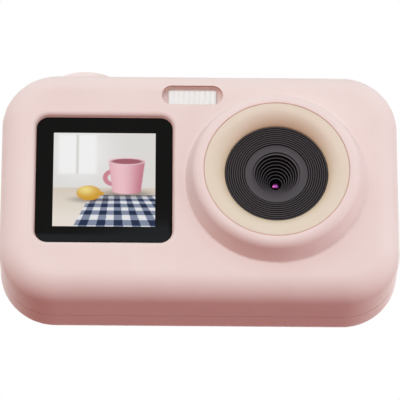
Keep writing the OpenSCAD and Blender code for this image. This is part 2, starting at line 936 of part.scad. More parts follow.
module lens_ring() {
    curve_x = ring_r - ring_land;
    curve_h = collar_h - ring_curve;
    placed() color(beige) about_lens() {
        union() {
            translate([curve_x, ring_seat])
                square([ring_land - ring_edge, collar_h - ring_seat]);
            translate([ring_r - ring_edge, ring_seat])
                square([ring_edge, collar_h - ring_edge - ring_seat]);
            translate([ring_r - ring_edge, collar_h - ring_edge])
                quarter(ring_edge);
            intersection() {
                translate([curve_x, curve_h])
                    circle(ring_curve);
                translate([hood_r + fit_gap, ring_seat])
                    square([curve_x - hood_r - fit_gap, collar_h]);
            }
        }
    }
}

module lens_hood() {
    step_t = (funnel_t - land_drop - mouth_t) / (step_count - 1);
    step_r = (mouth_r - throat_r) / (step_count - 1);
    placed() color(black) about_lens() {
        difference() {
            union() {
                translate([0, neck_h])
                    square([hood_flange, hood_flange_t]);
                translate([0, ring_seat])
                    square([hood_r, disc_h - ring_seat]);
                translate([0, tail_h])
                    square([neck_r, neck_h - tail_h]);
                translate([0, hood_back])
                    square([tail_r, tail_h - hood_back]);
            }
            translate([0, disc_h - land_drop])
                square([land_r, past]);
            for (i = [0 : step_count - 1])
                translate([0, disc_h - land_drop - mouth_t - i * step_t])
                    square([mouth_r - i * step_r, mouth_t + i * step_t + past]);
            translate([0, hood_back - past])
                square([aperture_r, floor_t + 2 * past]);
            for (i = [0 : groove_count - 1])
                translate([hood_r - (i + 1) * groove_pitch, disc_h - groove_t])
                    square([groove_w, past]);
        }
    }
}

module lens_barrel() {
    placed() color(black) about_lens() {
        difference() {
            translate([0, -barrel_back])
                square([barrel_r, barrel_back - barrel_y]);
            translate([0, -lens_seat])
                square([lip_r, lens_seat]);
            translate([0, -lens_seat - lens_rim_t])
                square([lens_r, lens_rim_t]);
            translate([0, -barrel_back - past])
                square([rear_lens_r, barrel_back + past - lens_seat - lens_rim_t / 2]);
        }
    }
}

// Dome with its flat side at zero and its crown on the positive side
module dome(r, curve, crown) {
    intersection() {
        translate([0, crown - curve])
            circle(curve);
        square([r, crown]);
    }
}

module front_lens() {
    placed() color("plum") about_lens() {
        union() {
            translate([0, -lens_seat - lens_rim_t])
                square([lens_r, lens_rim_t]);
            translate([0, -lens_seat])
                dome(lip_r - fit_gap, lens_dome, lens_seat - barrel_y);
        }
    }
}

module rear_lens() {
    placed() color("lightblue") about_lens() {
        translate([0, -rear_lens_y - rear_lens_t])
            difference() {
                square([rear_lens_r, rear_lens_t]);
                translate([0, rear_lens_dome + rear_lens_t / 2])
                    circle(rear_lens_dome);
            }
    }
}

module lens_bracket() {
    reach = bracket_screw_z + boss_r + past;
    placed() color(black) translate([lens_x, 0, lens_z]) difference() {
        union() {
            span([-bracket_w / 2, bracket_w / 2], [bracket_y, bracket_back], [-reach, reach]);
            rod(0, 0, [barrel_y + tube_set, bracket_y], tube_r);
            span([-skirt_side / 2, skirt_side / 2], [bracket_y, sensor_y], [-skirt_side / 2, skirt_side / 2]);
        }
        rod(0, 0, [barrel_y, bracket_back], barrel_r + screw_gap);
        span([-skirt_in / 2, skirt_in / 2], [bracket_back - filter_t, sensor_y + past],
            [-skirt_in / 2, skirt_in / 2]);
        for (side = [-1, 1])
            rod(0, side * bracket_screw_z, [bracket_y - past, bracket_back + past], small_screw_r + fit_gap);
    }
}

module bracket_screws() {
    placed() color(steel)
        for (side = [-1, 1])
            cross_screw(lens_x, lens_z + side * bracket_screw_z, bracket_back, screw_end,
                small_screw_r, small_head_r, small_head_t);
}

module infrared_filter() {
    half = skirt_in / 2 - fit_gap;
    placed() color("lightseagreen") translate([lens_x, 0, lens_z])
        span([-half, half], [bracket_back - filter_t, bracket_back], [-half, half]);
}

module image_sensor() {
    placed() color(grey) translate([lens_x, 0, lens_z])
        span([-sensor_w / 2, sensor_w / 2], [sensor_y - sensor_t, sensor_y], [-sensor_h / 2, sensor_h / 2]);
}

module sensor_board() {
    placed() color(board_green) translate([lens_x, 0, lens_z])
        span([-sensor_side / 2, sensor_side / 2], [sensor_y, sensor_y + sensor_board_t],
            [-sensor_side / 2, sensor_side / 2]);
}

module sensor_connector() {
    placed() color(white) translate([lens_x, 0, lens_z])
        span([-plug_w, plug_w], [sensor_y + sensor_board_t, board_y], [-plug_h / 2, plug_h / 2]);
}

module flash_diffuser() {
    rib_pitch = diffuser_w / rib_count;
    flange_w = diffuser_w + 2 * diffuser_lip;
    flange_h = diffuser_h + 2 * diffuser_lip;
    placed() color(white) translate([flash_x, 0, flash_z]) {
        translate([0, 0, -diffuser_h / 2])
            linear_extrude(diffuser_h)
                union() {
                    translate([-diffuser_w / 2, diffuser_y + rib_r])
                        square([diffuser_w, flash_back - diffuser_y - rib_r]);
                    for (i = [0 : rib_count - 1])
                        translate([(i + 0.5) * rib_pitch - diffuser_w / 2, diffuser_y + rib_r])
                            rotate(180)
                                intersection() {
                                    circle(rib_r);
                                    translate([-past, 0])
                                        square(2 * past);
                                }
                }
        span([-flange_w / 2, flange_w / 2], [flash_back, flash_back + diffuser_flange],
            [-flange_h / 2, flange_h / 2]);
    }
}

module flash_lamps() {
    placed() color("lightyellow")
        for (i = [-1 : 1])
            translate([flash_x + i * lamp_pitch, 0, flash_z])
                span([-lamp_side / 2, lamp_side / 2], [flash_board_y - lamp_t, flash_board_y],
                    [-lamp_side / 2, lamp_side / 2]);
}

module flash_board() {
    placed() color(board_green) translate([flash_x, 0, flash_z]) difference() {
        span([-flash_board_w / 2, flash_board_w / 2], [flash_board_y, flash_board_y + flash_board_t],
            [-flash_board_h / 2, flash_board_h / 2]);
        for (side = [-1, 1])
            rod(side * flash_screw_x, 0, [flash_board_y - past, flash_board_y + flash_board_t + past],
                small_screw_r + fit_gap);
    }
}

module flash_screws() {
    placed() color(steel)
        for (side = [-1, 1])
            cross_screw(flash_x + side * flash_screw_x, flash_z, flash_board_y + flash_board_t, screw_end,
                small_screw_r, small_head_r, small_head_t);
}

module front_glass() {
    placed() color(ink) translate([screen_x, glass_drop, lens_z])
        rounded_block(glass_w, glass_h, glass_t, glass_corner);
}

module front_panel() {
    placed() color("lightsteelblue") translate([screen_x, 0, lens_z])
        span([-panel_w / 2, panel_w / 2], [glass_back, backlight_y], [-panel_h / 2, panel_h / 2]);
}

module front_backlight() {
    placed() color(white) translate([screen_x, 0, lens_z])
        span([-panel_w / 2, panel_w / 2], [backlight_y, backlight_back], [-panel_h / 2, panel_h / 2]);
}

module front_flex() {
    placed() color(amber) {
        span([front_flex_x, flex_turn], [backlight_back, backlight_back + flex_t], front_flex_z);
        span([flex_turn, flex_turn + flex_t], [backlight_back, board_y], front_flex_z);
    }
}

module rear_glass() {
    placed() color(ink) translate([rear_x, rear_back, mid_z])
        rounded_block(rear_w, rear_h, rear_t, rear_corner);
}

module rear_panel() {
    placed() color("lightsteelblue") translate([rear_x, 0, mid_z])
        span([-rear_cell_w / 2, rear_cell_w / 2], [rear_back - rear_cell_t, rear_back],
            [-rear_cell_h / 2, rear_cell_h / 2]);
}

module rear_backlight() {
    placed() color(white) translate([rear_x, 0, mid_z])
        span([-rear_cell_w / 2, rear_cell_w / 2], [rear_light_y, rear_back - rear_cell_t],
            [-rear_cell_h / 2, rear_cell_h / 2]);
}

module rear_flex() {
    placed() color(amber)
        span([rear_x - plug_w, rear_x + plug_w], [board_back, rear_light_y],
            [rear_flex_z, rear_flex_z + flex_t]);
}

module shutter_button() {
    placed() color(pink_key) translate([shutter_x, shutter_y, 0]) {
        rotate_extrude() {
            union() {
                translate([0, shutter_flange_z])
                    square([shutter_r - shutter_round, shutter_top - shutter_flange_z]);
                translate([shutter_r - shutter_round, shutter_flange_z])
                    square([shutter_round, shutter_top - shutter_round - shutter_flange_z]);
                translate([shutter_r - shutter_round, shutter_top - shutter_round])
                    quarter(shutter_round);
                translate([0, shutter_flange_z - shutter_flange_t])
                    square([shutter_flange_r, shutter_flange_t]);
                translate([0, switch_top - stem_dip])
                    square([shutter_stem_r, shutter_flange_z - shutter_flange_t - switch_top + stem_dip]);
            }
        }
    }
}

module shutter_switch() {
    half = switch_side / 2;
    placed() color(black) translate([shutter_x, shutter_y, 0]) difference() {
        span([-half, half], [-half, half], [shutter_board_z + shutter_board_t, switch_top]);
        post(0, 0, [switch_top - switch_sink, switch_top + past], shutter_stem_r + move_gap);
    }
}

module shutter_board() {
    placed() color(board_green) translate([shutter_x, shutter_y, 0])
        span([-shutter_board_half, shutter_board_half], [-shutter_board_depth, shutter_board_depth],
            [shutter_board_z, shutter_board_z + shutter_board_t]);
}

// One rear key with its flange and stem
module key_button(place) {
    key_back = back_y + key_proud;
    placed() color(pink_key) translate([place[0], 0, place[1]]) rotate([-90, 0, 0]) {
        rotate_extrude() {
            union() {
                translate([0, key_flange_y])
                    square([place[2] - key_round, key_back - key_flange_y]);
                translate([place[2] - key_round, key_flange_y])
                    square([key_round, key_back - key_round - key_flange_y]);
                translate([place[2] - key_round, key_back - key_round])
                    quarter(key_round);
                translate([0, key_flange_y - key_flange_t])
                    square([place[2] + key_flange, key_flange_t]);
                translate([0, key_switch_y - stem_dip])
                    square([key_stem_r, key_flange_y - key_flange_t - key_switch_y + stem_dip]);
            }
        }
    }
}

module power_button() {
    key_button(key_places[0]);
}

module up_button() {
    key_button(key_places[1]);
}

module down_button() {
    key_button(key_places[2]);
}

module left_button() {
    key_button(key_places[3]);
}

module right_button() {
    key_button(key_places[4]);
}

module ok_button() {
    key_button(key_places[5]);
}

module key_switches() {
    half = key_switch_side / 2;
    placed() color(black)
        for (place = key_places)
            translate([place[0], 0, place[1]])
                difference() {
                    span([-half, half], [key_board_back, key_switch_y], [-half, half]);
                    rod(0, 0, [key_switch_y - key_switch_sink, key_switch_y + past], key_stem_r + move_gap);
                }
}

module key_board() {
    placed() color(board_green) difference() {
        union() {
            span([key_board_left, key_board_right], [key_board_y, key_board_back],
                [key_board_low, key_board_high]);
            span([key_tab_left, key_board_right], [key_board_y, key_board_back],
                [key_board_high, key_tab_high]);
        }
        for (place = key_screw_places)
            rod(place[0], place[1], [key_board_y - past, key_board_back + past], small_screw_r + fit_gap);
    }
}

// The key screws are driven from the front, so each is turned end for end
module key_screws() {
    placed() color(steel)
        for (place = key_screw_places)
            translate([0, 2 * key_board_y, 0])
                mirror([0, 1, 0])
                    cross_screw(place[0], place[1], key_board_y, 2 * key_board_y - back_in + past / 2,
                        small_screw_r, small_head_r, small_head_t);
}

module key_flex() {
    placed() color(amber) {
        span([key_board_right - flex_grip, flex_turn], [key_board_y - flex_t, key_board_y], key_flex_z);
        span([flex_turn, flex_turn + flex_t], [board_back, key_board_y], key_flex_z);
    }
}

module main_board() {
    placed() color(board_green) difference() {
        union() {
            span([board_left, board_right], [board_y, board_back], [board_low, board_high]);
            span([board_right, ear_right], [board_y, board_back], [ear_low, ear_high]);
        }
        for (place = board_places)
            rod(place[0], place[1], [board_y - past, board_back + past], small_screw_r + fit_gap);
    }
}

module processor() {
    placed() color(ink)
        span([chip_x, chip_x + chip_side], [board_back, board_back + chip_t], [chip_z, chip_z + chip_side]);
}

module memory_chip() {
    placed() color(ink)
        span([memory_x, memory_x + memory_w], [board_back, board_back + chip_t],
            [memory_z, memory_z + memory_h]);
}

module board_screws() {
    placed() color(steel)
        for (place = board_places)
            cross_screw(place[0], place[1], board_back, screw_end, small_screw_r, small_head_r, small_head_t);
}

module battery() {
    placed() color(silver_foil)
        translate([(battery_left + battery_right) / 2, battery_y, (battery_low + battery_high) / 2])
            rounded_block(battery_right - battery_left, battery_high - battery_low, battery_t,
                battery_corner);
}

module battery_pad() {
    placed() color(grey)
        span([battery_left + pad_border, front_flex_x - pad_flex_gap], [backlight_back, battery_y],
            [battery_low + pad_border, battery_high - pad_border]);
}

module battery_connector() {
    placed() color(white)
        span([plug_x, plug_x + plug_h], [board_y - plug_t, board_y], [plug_z, plug_z + plug_w]);
}

module speaker() {
    placed() color(ink) translate([speaker_x, back_in - speaker_t, speaker_z])
        rounded_block(speaker_w, speaker_h, speaker_t, speaker_corner);
}

module microphone() {
    placed() color(steel)
        rod(mic_x, mic_z, [back_in - mic_t, back_in], mic_r);
}

module light_pipe() {
    placed() color(white) {
        rod(pipe_x, pipe_z, [back_in, back_y - fit_gap], pipe_r);
        rod(pipe_x, pipe_z, [back_in - pipe_flange_t, back_in], pipe_flange_r);
    }
}

module status_lamp() {
    placed() color("lightgreen") translate([pipe_x, key_board_back, pipe_z])
        span([-lamp_chip / 2, lamp_chip / 2], [0, lamp_chip_t], [-lamp_chip / 2, lamp_chip / 2]);
}

module usb_shell() {
    placed() color(steel) translate([usb_end - usb_len, usb_y, cover_z]) rotate([0, 90, 0]) difference() {
        linear_extrude(usb_len)
            stadium(usb_w, usb_h);
        translate([0, 0, usb_back_t])
            linear_extrude(usb_len)
                stadium(usb_w - 2 * usb_wall, usb_h - 2 * usb_wall);
    }
}

module usb_tongue() {
    root_x = usb_end - usb_len + usb_back_t;
    placed() color(ink)
        span([root_x, root_x + tongue_len], [usb_y - tongue_t / 2, usb_y + tongue_t / 2],
            [cover_z - tongue_w / 2, cover_z + tongue_w / 2]);
}

module card_socket() {
    half = socket_w / 2;
    slot = card_w / 2 + fit_gap;
    placed() color(steel) translate([socket_right, 0, cover_z]) difference() {
        span([-socket_len, 0], [board_back, board_back + socket_t], [-half, half]);
        span([card_end - socket_right - card_len - fit_gap, past],
            [card_y - fit_gap, card_y + card_t + fit_gap], [-slot, slot]);
    }
}

module memory_card() {
    placed() color(black)
        span([card_end - card_len, card_end], [card_y, card_y + card_t],
            [cover_z - card_w / 2, cover_z + card_w / 2]);
}

module port_cover() {
    placed() color(pink) difference() {
        union() {
            span([cover_in, cover_out], [cover_y, pin_y], [cover_low, cover_high]);
            translate([pin_x, pin_y, cover_low])
                rotate_extrude(angle = 180)
                    square([knuckle_r, cover_h]);
        }
        post(pin_x, pin_y, [cover_low - past, cover_high + past], pin_r + pin_gap);
        translate([cover_out + nail_r - nail_t, cover_y + nail_r, cover_z - cover_h / 4])
            cylinder(r = nail_r, h = cover_h / 2);
    }
}

module cover_pin() {
    placed() color(steel)
        post(pin_x, pin_y, [cover_low - pin_reach, cover_high + pin_reach], pin_r);
}

front_shell();
rear_shell();
case_screws();
lens_ring();
lens_hood();
lens_barrel();
front_lens();
rear_lens();
lens_bracket();
bracket_screws();
infrared_filter();
image_sensor();
sensor_board();
sensor_connector();
flash_diffuser();
flash_lamps();
flash_board();
flash_screws();
front_glass();
front_panel();
front_backlight();
front_flex();
rear_glass();
rear_panel();
rear_backlight();
rear_flex();
shutter_button();
shutter_switch();
shutter_board();
power_button();
up_button();
down_button();
left_button();
right_button();
ok_button();
key_switches();
key_board();
key_screws();
key_flex();
main_board();
processor();
memory_chip();
board_screws();
battery();
battery_pad();
battery_connector();
speaker();
microphone();
light_pipe();
status_lamp();
usb_shell();
usb_tongue();
card_socket();
memory_card();
port_cover();
cover_pin();
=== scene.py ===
# %% [markdown]
# # A kids' pocket camera, dressed for its picture
# The solids of this camera were drawn in CAD and packed into one frame: real size, +Z up, the lens
# facing -Y. This lesson loads them, gives every surface the finish of the real thing, and remakes
# the pieces whose small forms matter to the eye. Nothing is moved: a new piece takes its place from
# the solid that it stands for, so the joints of the model still fit. Lengths are in millimetres unless
# a comment says otherwise.

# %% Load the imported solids
import bpy
import bmesh
import json
import math
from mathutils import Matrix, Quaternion, Vector


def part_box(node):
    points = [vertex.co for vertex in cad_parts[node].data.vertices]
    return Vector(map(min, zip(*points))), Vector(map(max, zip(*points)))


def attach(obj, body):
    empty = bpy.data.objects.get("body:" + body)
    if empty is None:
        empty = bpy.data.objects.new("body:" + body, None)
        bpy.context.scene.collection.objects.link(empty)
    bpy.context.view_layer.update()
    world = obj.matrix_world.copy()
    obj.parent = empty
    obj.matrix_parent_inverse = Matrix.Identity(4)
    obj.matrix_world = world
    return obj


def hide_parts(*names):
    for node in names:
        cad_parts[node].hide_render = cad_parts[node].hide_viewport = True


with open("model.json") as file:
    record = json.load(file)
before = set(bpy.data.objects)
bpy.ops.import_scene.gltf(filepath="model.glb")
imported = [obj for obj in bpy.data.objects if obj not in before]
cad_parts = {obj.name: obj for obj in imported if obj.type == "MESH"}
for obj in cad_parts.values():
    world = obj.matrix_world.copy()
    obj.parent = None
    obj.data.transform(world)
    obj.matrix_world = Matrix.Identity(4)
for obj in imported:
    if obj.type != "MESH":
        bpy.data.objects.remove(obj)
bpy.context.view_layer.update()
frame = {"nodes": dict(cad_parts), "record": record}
solids = frame["nodes"]
MM = 0.001

# %% [markdown]
# ## Camera
# The photograph was taken with a long lens from some 25 degrees below the camera and a hair to its
# left, so the underside shows and verticals stay almost parallel. A long focal length from 0.85 m
# gives the same flat perspective. The view is aimed a quarter of a degree low instead of shifting
# the lens, because a shift would spoil the views from other sides.

# %% Camera at the photograph's angle
FRONT = -9.215  # the case's front face, along Y
TILT = math.radians(24.57)
YAW = math.radians(0.95)
ROLL = 0.0012  # radians
DISTANCE = 848.9 * MM
LOOK_AT = Vector((0.0, FRONT, 27.5)) * MM
AIM_LOW = math.radians(0.249)
SENSOR_W, FOCAL = 36.0, 334.2
NEAREST = 0.05  # metres


def heading(tilt, yaw):
    return Vector((math.cos(tilt) * math.sin(yaw), math.cos(tilt) * math.cos(yaw), math.sin(tilt)))


def placed(name, data):
    thing = bpy.data.objects.new(name, data)
    bpy.context.scene.collection.objects.link(thing)
    return thing


lens_data = bpy.data.cameras.new("long_lens")
lens_data.sensor_width = SENSOR_W
lens_data.lens = FOCAL
lens_data.clip_start = NEAREST
viewer = placed("long_lens", lens_data)
viewer.location = LOOK_AT - DISTANCE * heading(TILT, YAW)
viewer.rotation_mode = "QUATERNION"
aim = heading(TILT - AIM_LOW, YAW).to_track_quat("-Z", "Y")
viewer.rotation_quaternion = aim @ Quaternion((0, 0, 1), ROLL)
bpy.context.scene.camera = viewer
print("camera at", [round(v, 3) for v in viewer.location])

# %% [markdown]
# ## Small helpers
# Colours are written as the hex values a designer would quote, and one function turns them into the
# linear numbers a shader works with. Another clears the node tree of something new, and a third adds
# a node, sets it and links it, for materials and for Geometry Nodes alike, so each tree below reads
# as a short list. The last keeps a finished bmesh as a mesh with its material.

# %% Colour, node and mesh helpers
def linear(hex_colour):
    parts = [int(hex_colour[i:i + 2], 16) / 255 for i in (1, 3, 5)]
    return tuple(p / 12.92 if p <= 0.04045 else ((p + 0.055) / 1.055) ** 2.4 for p in parts) + (1.0,)


def blank(owner):
    owner.use_nodes = True
    owner.node_tree.nodes.clear()
    return owner.node_tree


def add(tree, kind, inputs=(), **settings):
    node = tree.nodes.new(kind)
    for key, value in settings.items():
        setattr(node, key, value)
    for key, value in dict(inputs).items():
        if isinstance(value, bpy.types.NodeSocket):
            tree.links.new(value, node.inputs[key])
        else:
            node.inputs[key].default_value = value
    return node


def kept(name, shape, finish=None):
    mesh = bpy.data.meshes.new(name)
    shape.to_mesh(mesh)
    shape.free()
    if finish:
        mesh.materials.append(finish)
    return mesh


# %% [markdown]
# ## Floor and light
# A product picture like this one is taken in a light tent: soft light from the whole upper half, a
# little cool half way up and neutral overhead, and six softboxes round the camera. The one at the
# front left is warm and the others are a little cool. The floor is a pale sheet that only the eye of
# the lens meets: the photograph looks up from below, so the sheet is clear from underneath and
# doesn't shade the underside. Below, the tent's glow is a dim rose, the light that the pink case
# itself throws about.

# %% Floor
FLOOR_HALF = 1.5  # metres
FLOOR_DROP = 0.1  # a hair under the base, so that the two flat faces never fight
FIBRES = 180.0  # patches to a metre: far coarser than paper fibre, so that they can show
# Matt paper, uncoated: an even pale sheet without a highlight.
paper = bpy.data.materials.new("matt_paper_sweep")
tree = blank(paper)
spot = add(tree, "ShaderNodeTexCoord")
fibre = add(tree, "ShaderNodeTexNoise", {"Vector": spot.outputs["Object"], "Scale": FIBRES, "Detail": 3.0})
tone = add(tree, "ShaderNodeMix", {0: fibre.outputs["Fac"], 6: linear("#F0ECEA"), 7: linear("#F6F3F1")},
           data_type="RGBA")
skin = add(tree, "ShaderNodeBsdfPrincipled", {"Base Color": tone.outputs[2], "Roughness": 0.8})
clear = add(tree, "ShaderNodeBsdfTransparent")
under = add(tree, "ShaderNodeNewGeometry")
either = add(tree, "ShaderNodeMixShader",
             {0: under.outputs["Backfacing"], 1: skin.outputs[0], 2: clear.outputs[0]})
add(tree, "ShaderNodeOutputMaterial", {"Surface": either.outputs[0]})
sheet = bmesh.new()
bmesh.ops.create_grid(sheet, x_segments=8, y_segments=8, size=FLOOR_HALF)
floor = placed("floor", kept("floor", sheet, paper))
floor.location.z = -FLOOR_DROP * MM
floor.visible_diffuse = floor.visible_glossy = floor.visible_transmission = floor.visible_shadow = False
print("floor side in m:", 2 * FLOOR_HALF)

# %% Glow of the tent
# Height on the sphere of sky, from straight down to straight up, and the colour there.
ROOM = [(-1, "#960000"), (-0.6, "#AD7574"), (-0.3, "#C9ADA6"), (0, "#E0D5CB"),
        (0.3, "#E3EBEA"), (0.6, "#D9E9ED"), (1, "#E2E1E1")]
ROOM_STRENGTH = 1.06
sky = bpy.data.worlds.new("white_sweep")
bpy.context.scene.world = sky
tree = blank(sky)
spot = add(tree, "ShaderNodeTexCoord")
height = add(tree, "ShaderNodeSeparateXYZ", {"Vector": spot.outputs["Generated"]})
level = add(tree, "ShaderNodeMapRange", {"Value": height.outputs["Z"], "From Min": -1.0, "From Max": 1.0})
glow = add(tree, "ShaderNodeValToRGB", {"Fac": level.outputs[0]})
stops = glow.color_ramp.elements
for z, colour in ROOM[1:-1]:
    stops.new((z + 1) / 2)
for stop, (z, colour) in zip(stops, ROOM):
    stop.color = linear(colour)
room = add(tree, "ShaderNodeBackground", {"Color": glow.outputs["Color"], "Strength": ROOM_STRENGTH})
white = add(tree, "ShaderNodeBackground", {"Color": (1, 1, 1, 1), "Strength": 1.0})
path = add(tree, "ShaderNodeLightPath")
seen = add(tree, "ShaderNodeMixShader",
           {0: path.outputs["Is Camera Ray"], 1: room.outputs[0], 2: white.outputs[0]})
add(tree, "ShaderNodeOutputWorld", {"Surface": seen.outputs[0]})
print("stops of the glow:", len(stops))

# %% Softboxes
def softbox(name, place, size, watts, tint):
    lamp = bpy.data.lights.new(name, "AREA")
    lamp.shape = "RECTANGLE"
    lamp.size, lamp.size_y = size
    lamp.energy = watts
    lamp.color = linear(tint)[:3]
    box = placed(name, lamp)
    box.location = place
    box.rotation_euler = (LOOK_AT - Vector(place)).to_track_quat("-Z", "Y").to_euler()


# Place and size are in metres.
softbox("softbox_front", (0.0, -1.2, 0.15), (1.0, 0.6), 5.9, "#D8F2FF")
softbox("softbox_front_left", (-0.5, -1.15, 0.17), (0.34, 0.34), 2.5, "#FFE2C8")
softbox("softbox_high_left", (-0.9, -0.5, 0.6), (0.8, 0.8), 1.5, "#D0EFFF")
softbox("softbox_right", (1.2, 0.0, -0.25), (0.6, 0.6), 4.2, "#ECF8FF")
softbox("softbox_low_right", (0.8, -0.6, -0.4), (0.8, 0.6), 1.95, "#E8FDFF")
softbox("softbox_back", (0.0, 1.2, 0.5), (1.6, 1.0), 9.0, "#F0FCFF")
print("light in watts:", round(sum(lamp.energy for lamp in bpy.data.lights), 2))

# %% [markdown]
# ## Black cloth
# Domed glass mirrors the whole room, also what is behind the long lens. A photographer hangs a black
# cloth there, which keeps the room below out of the curved glass. A plain sheet does, hidden from the
# long lens itself. Tones are left as they are, with no film curve.

# %% Black cloth and plain tones
CLOTH_AT, CLOTH_W, CLOTH_H = 0.9, 1.2, 0.36  # metres
PILE = 2.5  # far coarser than real pile, so that it can show
# Woven velvet, dyed black: it gives back next to no light.
velvet = bpy.data.materials.new("black_velvet")
tree = blank(velvet)
spot = add(tree, "ShaderNodeTexCoord")
pile = add(tree, "ShaderNodeTexNoise", {"Vector": spot.outputs["Object"], "Scale": 1 / (PILE * MM)})
tone = add(tree, "ShaderNodeMix", {0: pile.outputs["Fac"], 6: linear("#050505"), 7: linear("#0B0B0B")},
           data_type="RGBA")
skin = add(tree, "ShaderNodeBsdfPrincipled",
           {"Base Color": tone.outputs[2], "Roughness": 1.0, "Specular IOR Level": 0.0})
add(tree, "ShaderNodeOutputMaterial", {"Surface": skin.outputs[0]})
gaze = heading(TILT, YAW)
across = gaze.cross(Vector((0, 0, 1))).normalized() * CLOTH_W / 2
upward = across.cross(gaze).normalized() * CLOTH_H / 2
cloth_mesh = bpy.data.meshes.new("black_cloth")
cloth_mesh.from_pydata([LOOK_AT - CLOTH_AT * gaze + across * a + upward * b
                        for a, b in ((-1, -1), (1, -1), (1, 1), (-1, 1))], [], [(0, 1, 2, 3)])
cloth_mesh.materials.append(velvet)
cloth = placed("black_cloth", cloth_mesh)
cloth.visible_camera = False
bpy.context.scene.view_settings.view_transform = "Standard"
bpy.context.scene.view_settings.look = "None"
print("cloth in m:", CLOTH_W, "by", CLOTH_H)

# %% [markdown]
# ## Plain finishes
# Most pieces are moulded plastic, plated metal or board. Each has a body colour that drifts a little,
# a grain of known size and a gloss that follows the grain. One function holds that recipe, and each
# call below says which material it is and what that gives the eye.

# %% A recipe for grained finishes
DRIFT = 9.0  # width of the patches in which a moulding's colour drifts
GRAIN_DEPTH = 0.1  # depth of the grain, as a share of its width


def grained(name, dark, light, grain, bump, rough, metallic=0.0, **sockets):
    finish = bpy.data.materials.new(name)
    tree = blank(finish)
    place = add(tree, "ShaderNodeTexCoord").outputs["Object"]
    drift = add(tree, "ShaderNodeTexNoise", {"Vector": place, "Scale": 1 / (DRIFT * MM), "Detail": 2.0})
    colour = add(tree, "ShaderNodeMix", {0: drift.outputs["Fac"], 6: linear(dark), 7: linear(light)},
                 data_type="RGBA")
    grit = add(tree, "ShaderNodeTexNoise", {"Vector": place, "Scale": 1 / (grain * MM), "Detail": 2.0})
    gloss = add(tree, "ShaderNodeMapRange",
                {"Value": grit.outputs["Fac"], "To Min": rough[0], "To Max": rough[1]})
    relief = add(tree, "ShaderNodeBump", {"Height": grit.outputs["Fac"], "Strength": bump,
                                          "Distance": GRAIN_DEPTH * grain * MM})
    surface = add(tree, "ShaderNodeBsdfPrincipled",
                  {"Base Color": colour.outputs[2], "Roughness": gloss.outputs[0], "Metallic": metallic,
                   "Normal": relief.outputs[0], **sockets})
    add(tree, "ShaderNodeOutputMaterial", {"Surface": surface.outputs[0]})
    return finish


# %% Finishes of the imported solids
# Moulded ABS with a soft-touch lacquer: a chalky blush skin with no hard highlight.
# The lacquer's grit is about 0.1 mm; it is drawn at 0.4 mm so that it can show.
blush_abs = grained("moulded_abs_soft_touch_blush", "#DFC6C1", "#E4CECA", 0.4, 0.25, (0.5, 0.62),
                    **{"Specular IOR Level": 0.3})
# The same ABS, polished a little more by the thumb.
key_abs = grained("moulded_abs_satin_blush", "#E2CCC7", "#E7D4D0", 0.4, 0.15, (0.4, 0.5))
# Injection moulded ABS with a satin die: an even cream.
cream_abs = grained("moulded_abs_satin_cream", "#D5C0AD", "#DAC7B5", 0.3, 0.12, (0.4, 0.5))
# Black polycarbonate, matt moulded to kill stray light.
black_pc = grained("moulded_polycarbonate_matt_black", "#232122", "#2C2A2B", 0.25, 0.25, (0.42, 0.55))
# Milky polycarbonate that spreads the lamps' light.
milky_pc = grained("moulded_polycarbonate_milky", "#E1DCDA", "#EAE6E3", 0.3, 0.05, (0.25, 0.35))
# Zinc plated steel: grey with a faint crystal mottle.
zinc_steel = grained("zinc_plated_steel", "#B4B6BA", "#CBCDD0", 0.5, 0.08, (0.25, 0.4), metallic=1.0)
# Fibreglass board under green solder mask.
board_mask = grained("fibreglass_solder_mask", "#1E4E33", "#2F6B4A", 0.6, 0.2, (0.3, 0.4))
# Polyimide film of the flat cables.
amber_film = grained("polyimide_film", "#A5661F", "#C0843C", 1.2, 0.05, (0.15, 0.25))
# Epoxy chip bodies.
chip_epoxy = grained("moulded_epoxy_chip", "#1B1B1C", "#262627", 0.2, 0.2, (0.5, 0.6))
# Aluminium pouch foil round the battery.
pouch_foil = grained("aluminium_pouch_foil", "#B9BDC2", "#D3D6DA", 1.5, 0.3, (0.25, 0.4), metallic=1.0)
# Open cell foam tape.
grey_foam = grained("open_cell_foam", "#5F6266", "#7C8085", 0.5, 0.8, (0.8, 0.95))
# White reflector plastic of the backlights and plugs.
white_abs = grained("moulded_abs_white", "#E2E2E0", "#ECECEA", 0.4, 0.1, (0.35, 0.45))
# Clear yellow resin over the lamps' phosphor.
lamp_resin = grained("cast_resin_phosphor", "#EBDC8A", "#F4ECB8", 0.3, 0.05, (0.1, 0.2))
# Display cells, dark polariser film.
polariser = grained("polariser_film", "#23262B", "#2B2F35", 1.0, 0.02, (0.08, 0.14))
# Optical glass of the inner elements.
inner_glass = grained("ground_optical_glass", "#20242C", "#2B2F3A", 2.0, 0.0, (0.03, 0.06))

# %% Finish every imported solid
by_slot = {"pink_plastic": blush_abs, "key_plastic": key_abs, "beige_plastic": cream_abs,
           "black_plastic": black_pc, "lens_glass": inner_glass, "screen_glass": polariser,
           "display_cell": polariser, "white_plastic": white_abs, "diffuser_plastic": milky_pc,
           "lamp": lamp_resin, "circuit_board": board_mask, "flex_film": amber_film, "steel": zinc_steel,
           "chip_resin": chip_epoxy, "foil": pouch_foil, "foam": grey_foam}
for part in frame["record"]["subparts"]:
    mesh = solids[part["node"]].data
    for i in range(len(mesh.materials)):
        mesh.materials[i] = by_slot[part["material_slot"]]

# %% [markdown]
# ## Pieces turned on a lathe
# The lens dish, the black hood, the front lens and every button are round, so each is one outline
# turned about an axis. Spinning by hand in code would do, but a Geometry Nodes lathe is clearer and
# serves them all: a grid whose rows are the outline's points and whose columns are the turn. Where a
# moulding has many corners, they are rounded first, because real ones have no knife edges.

# %% Outlines
NEXT_CORNER = 0.45  # a rounding reaches no further along a side than this share of it


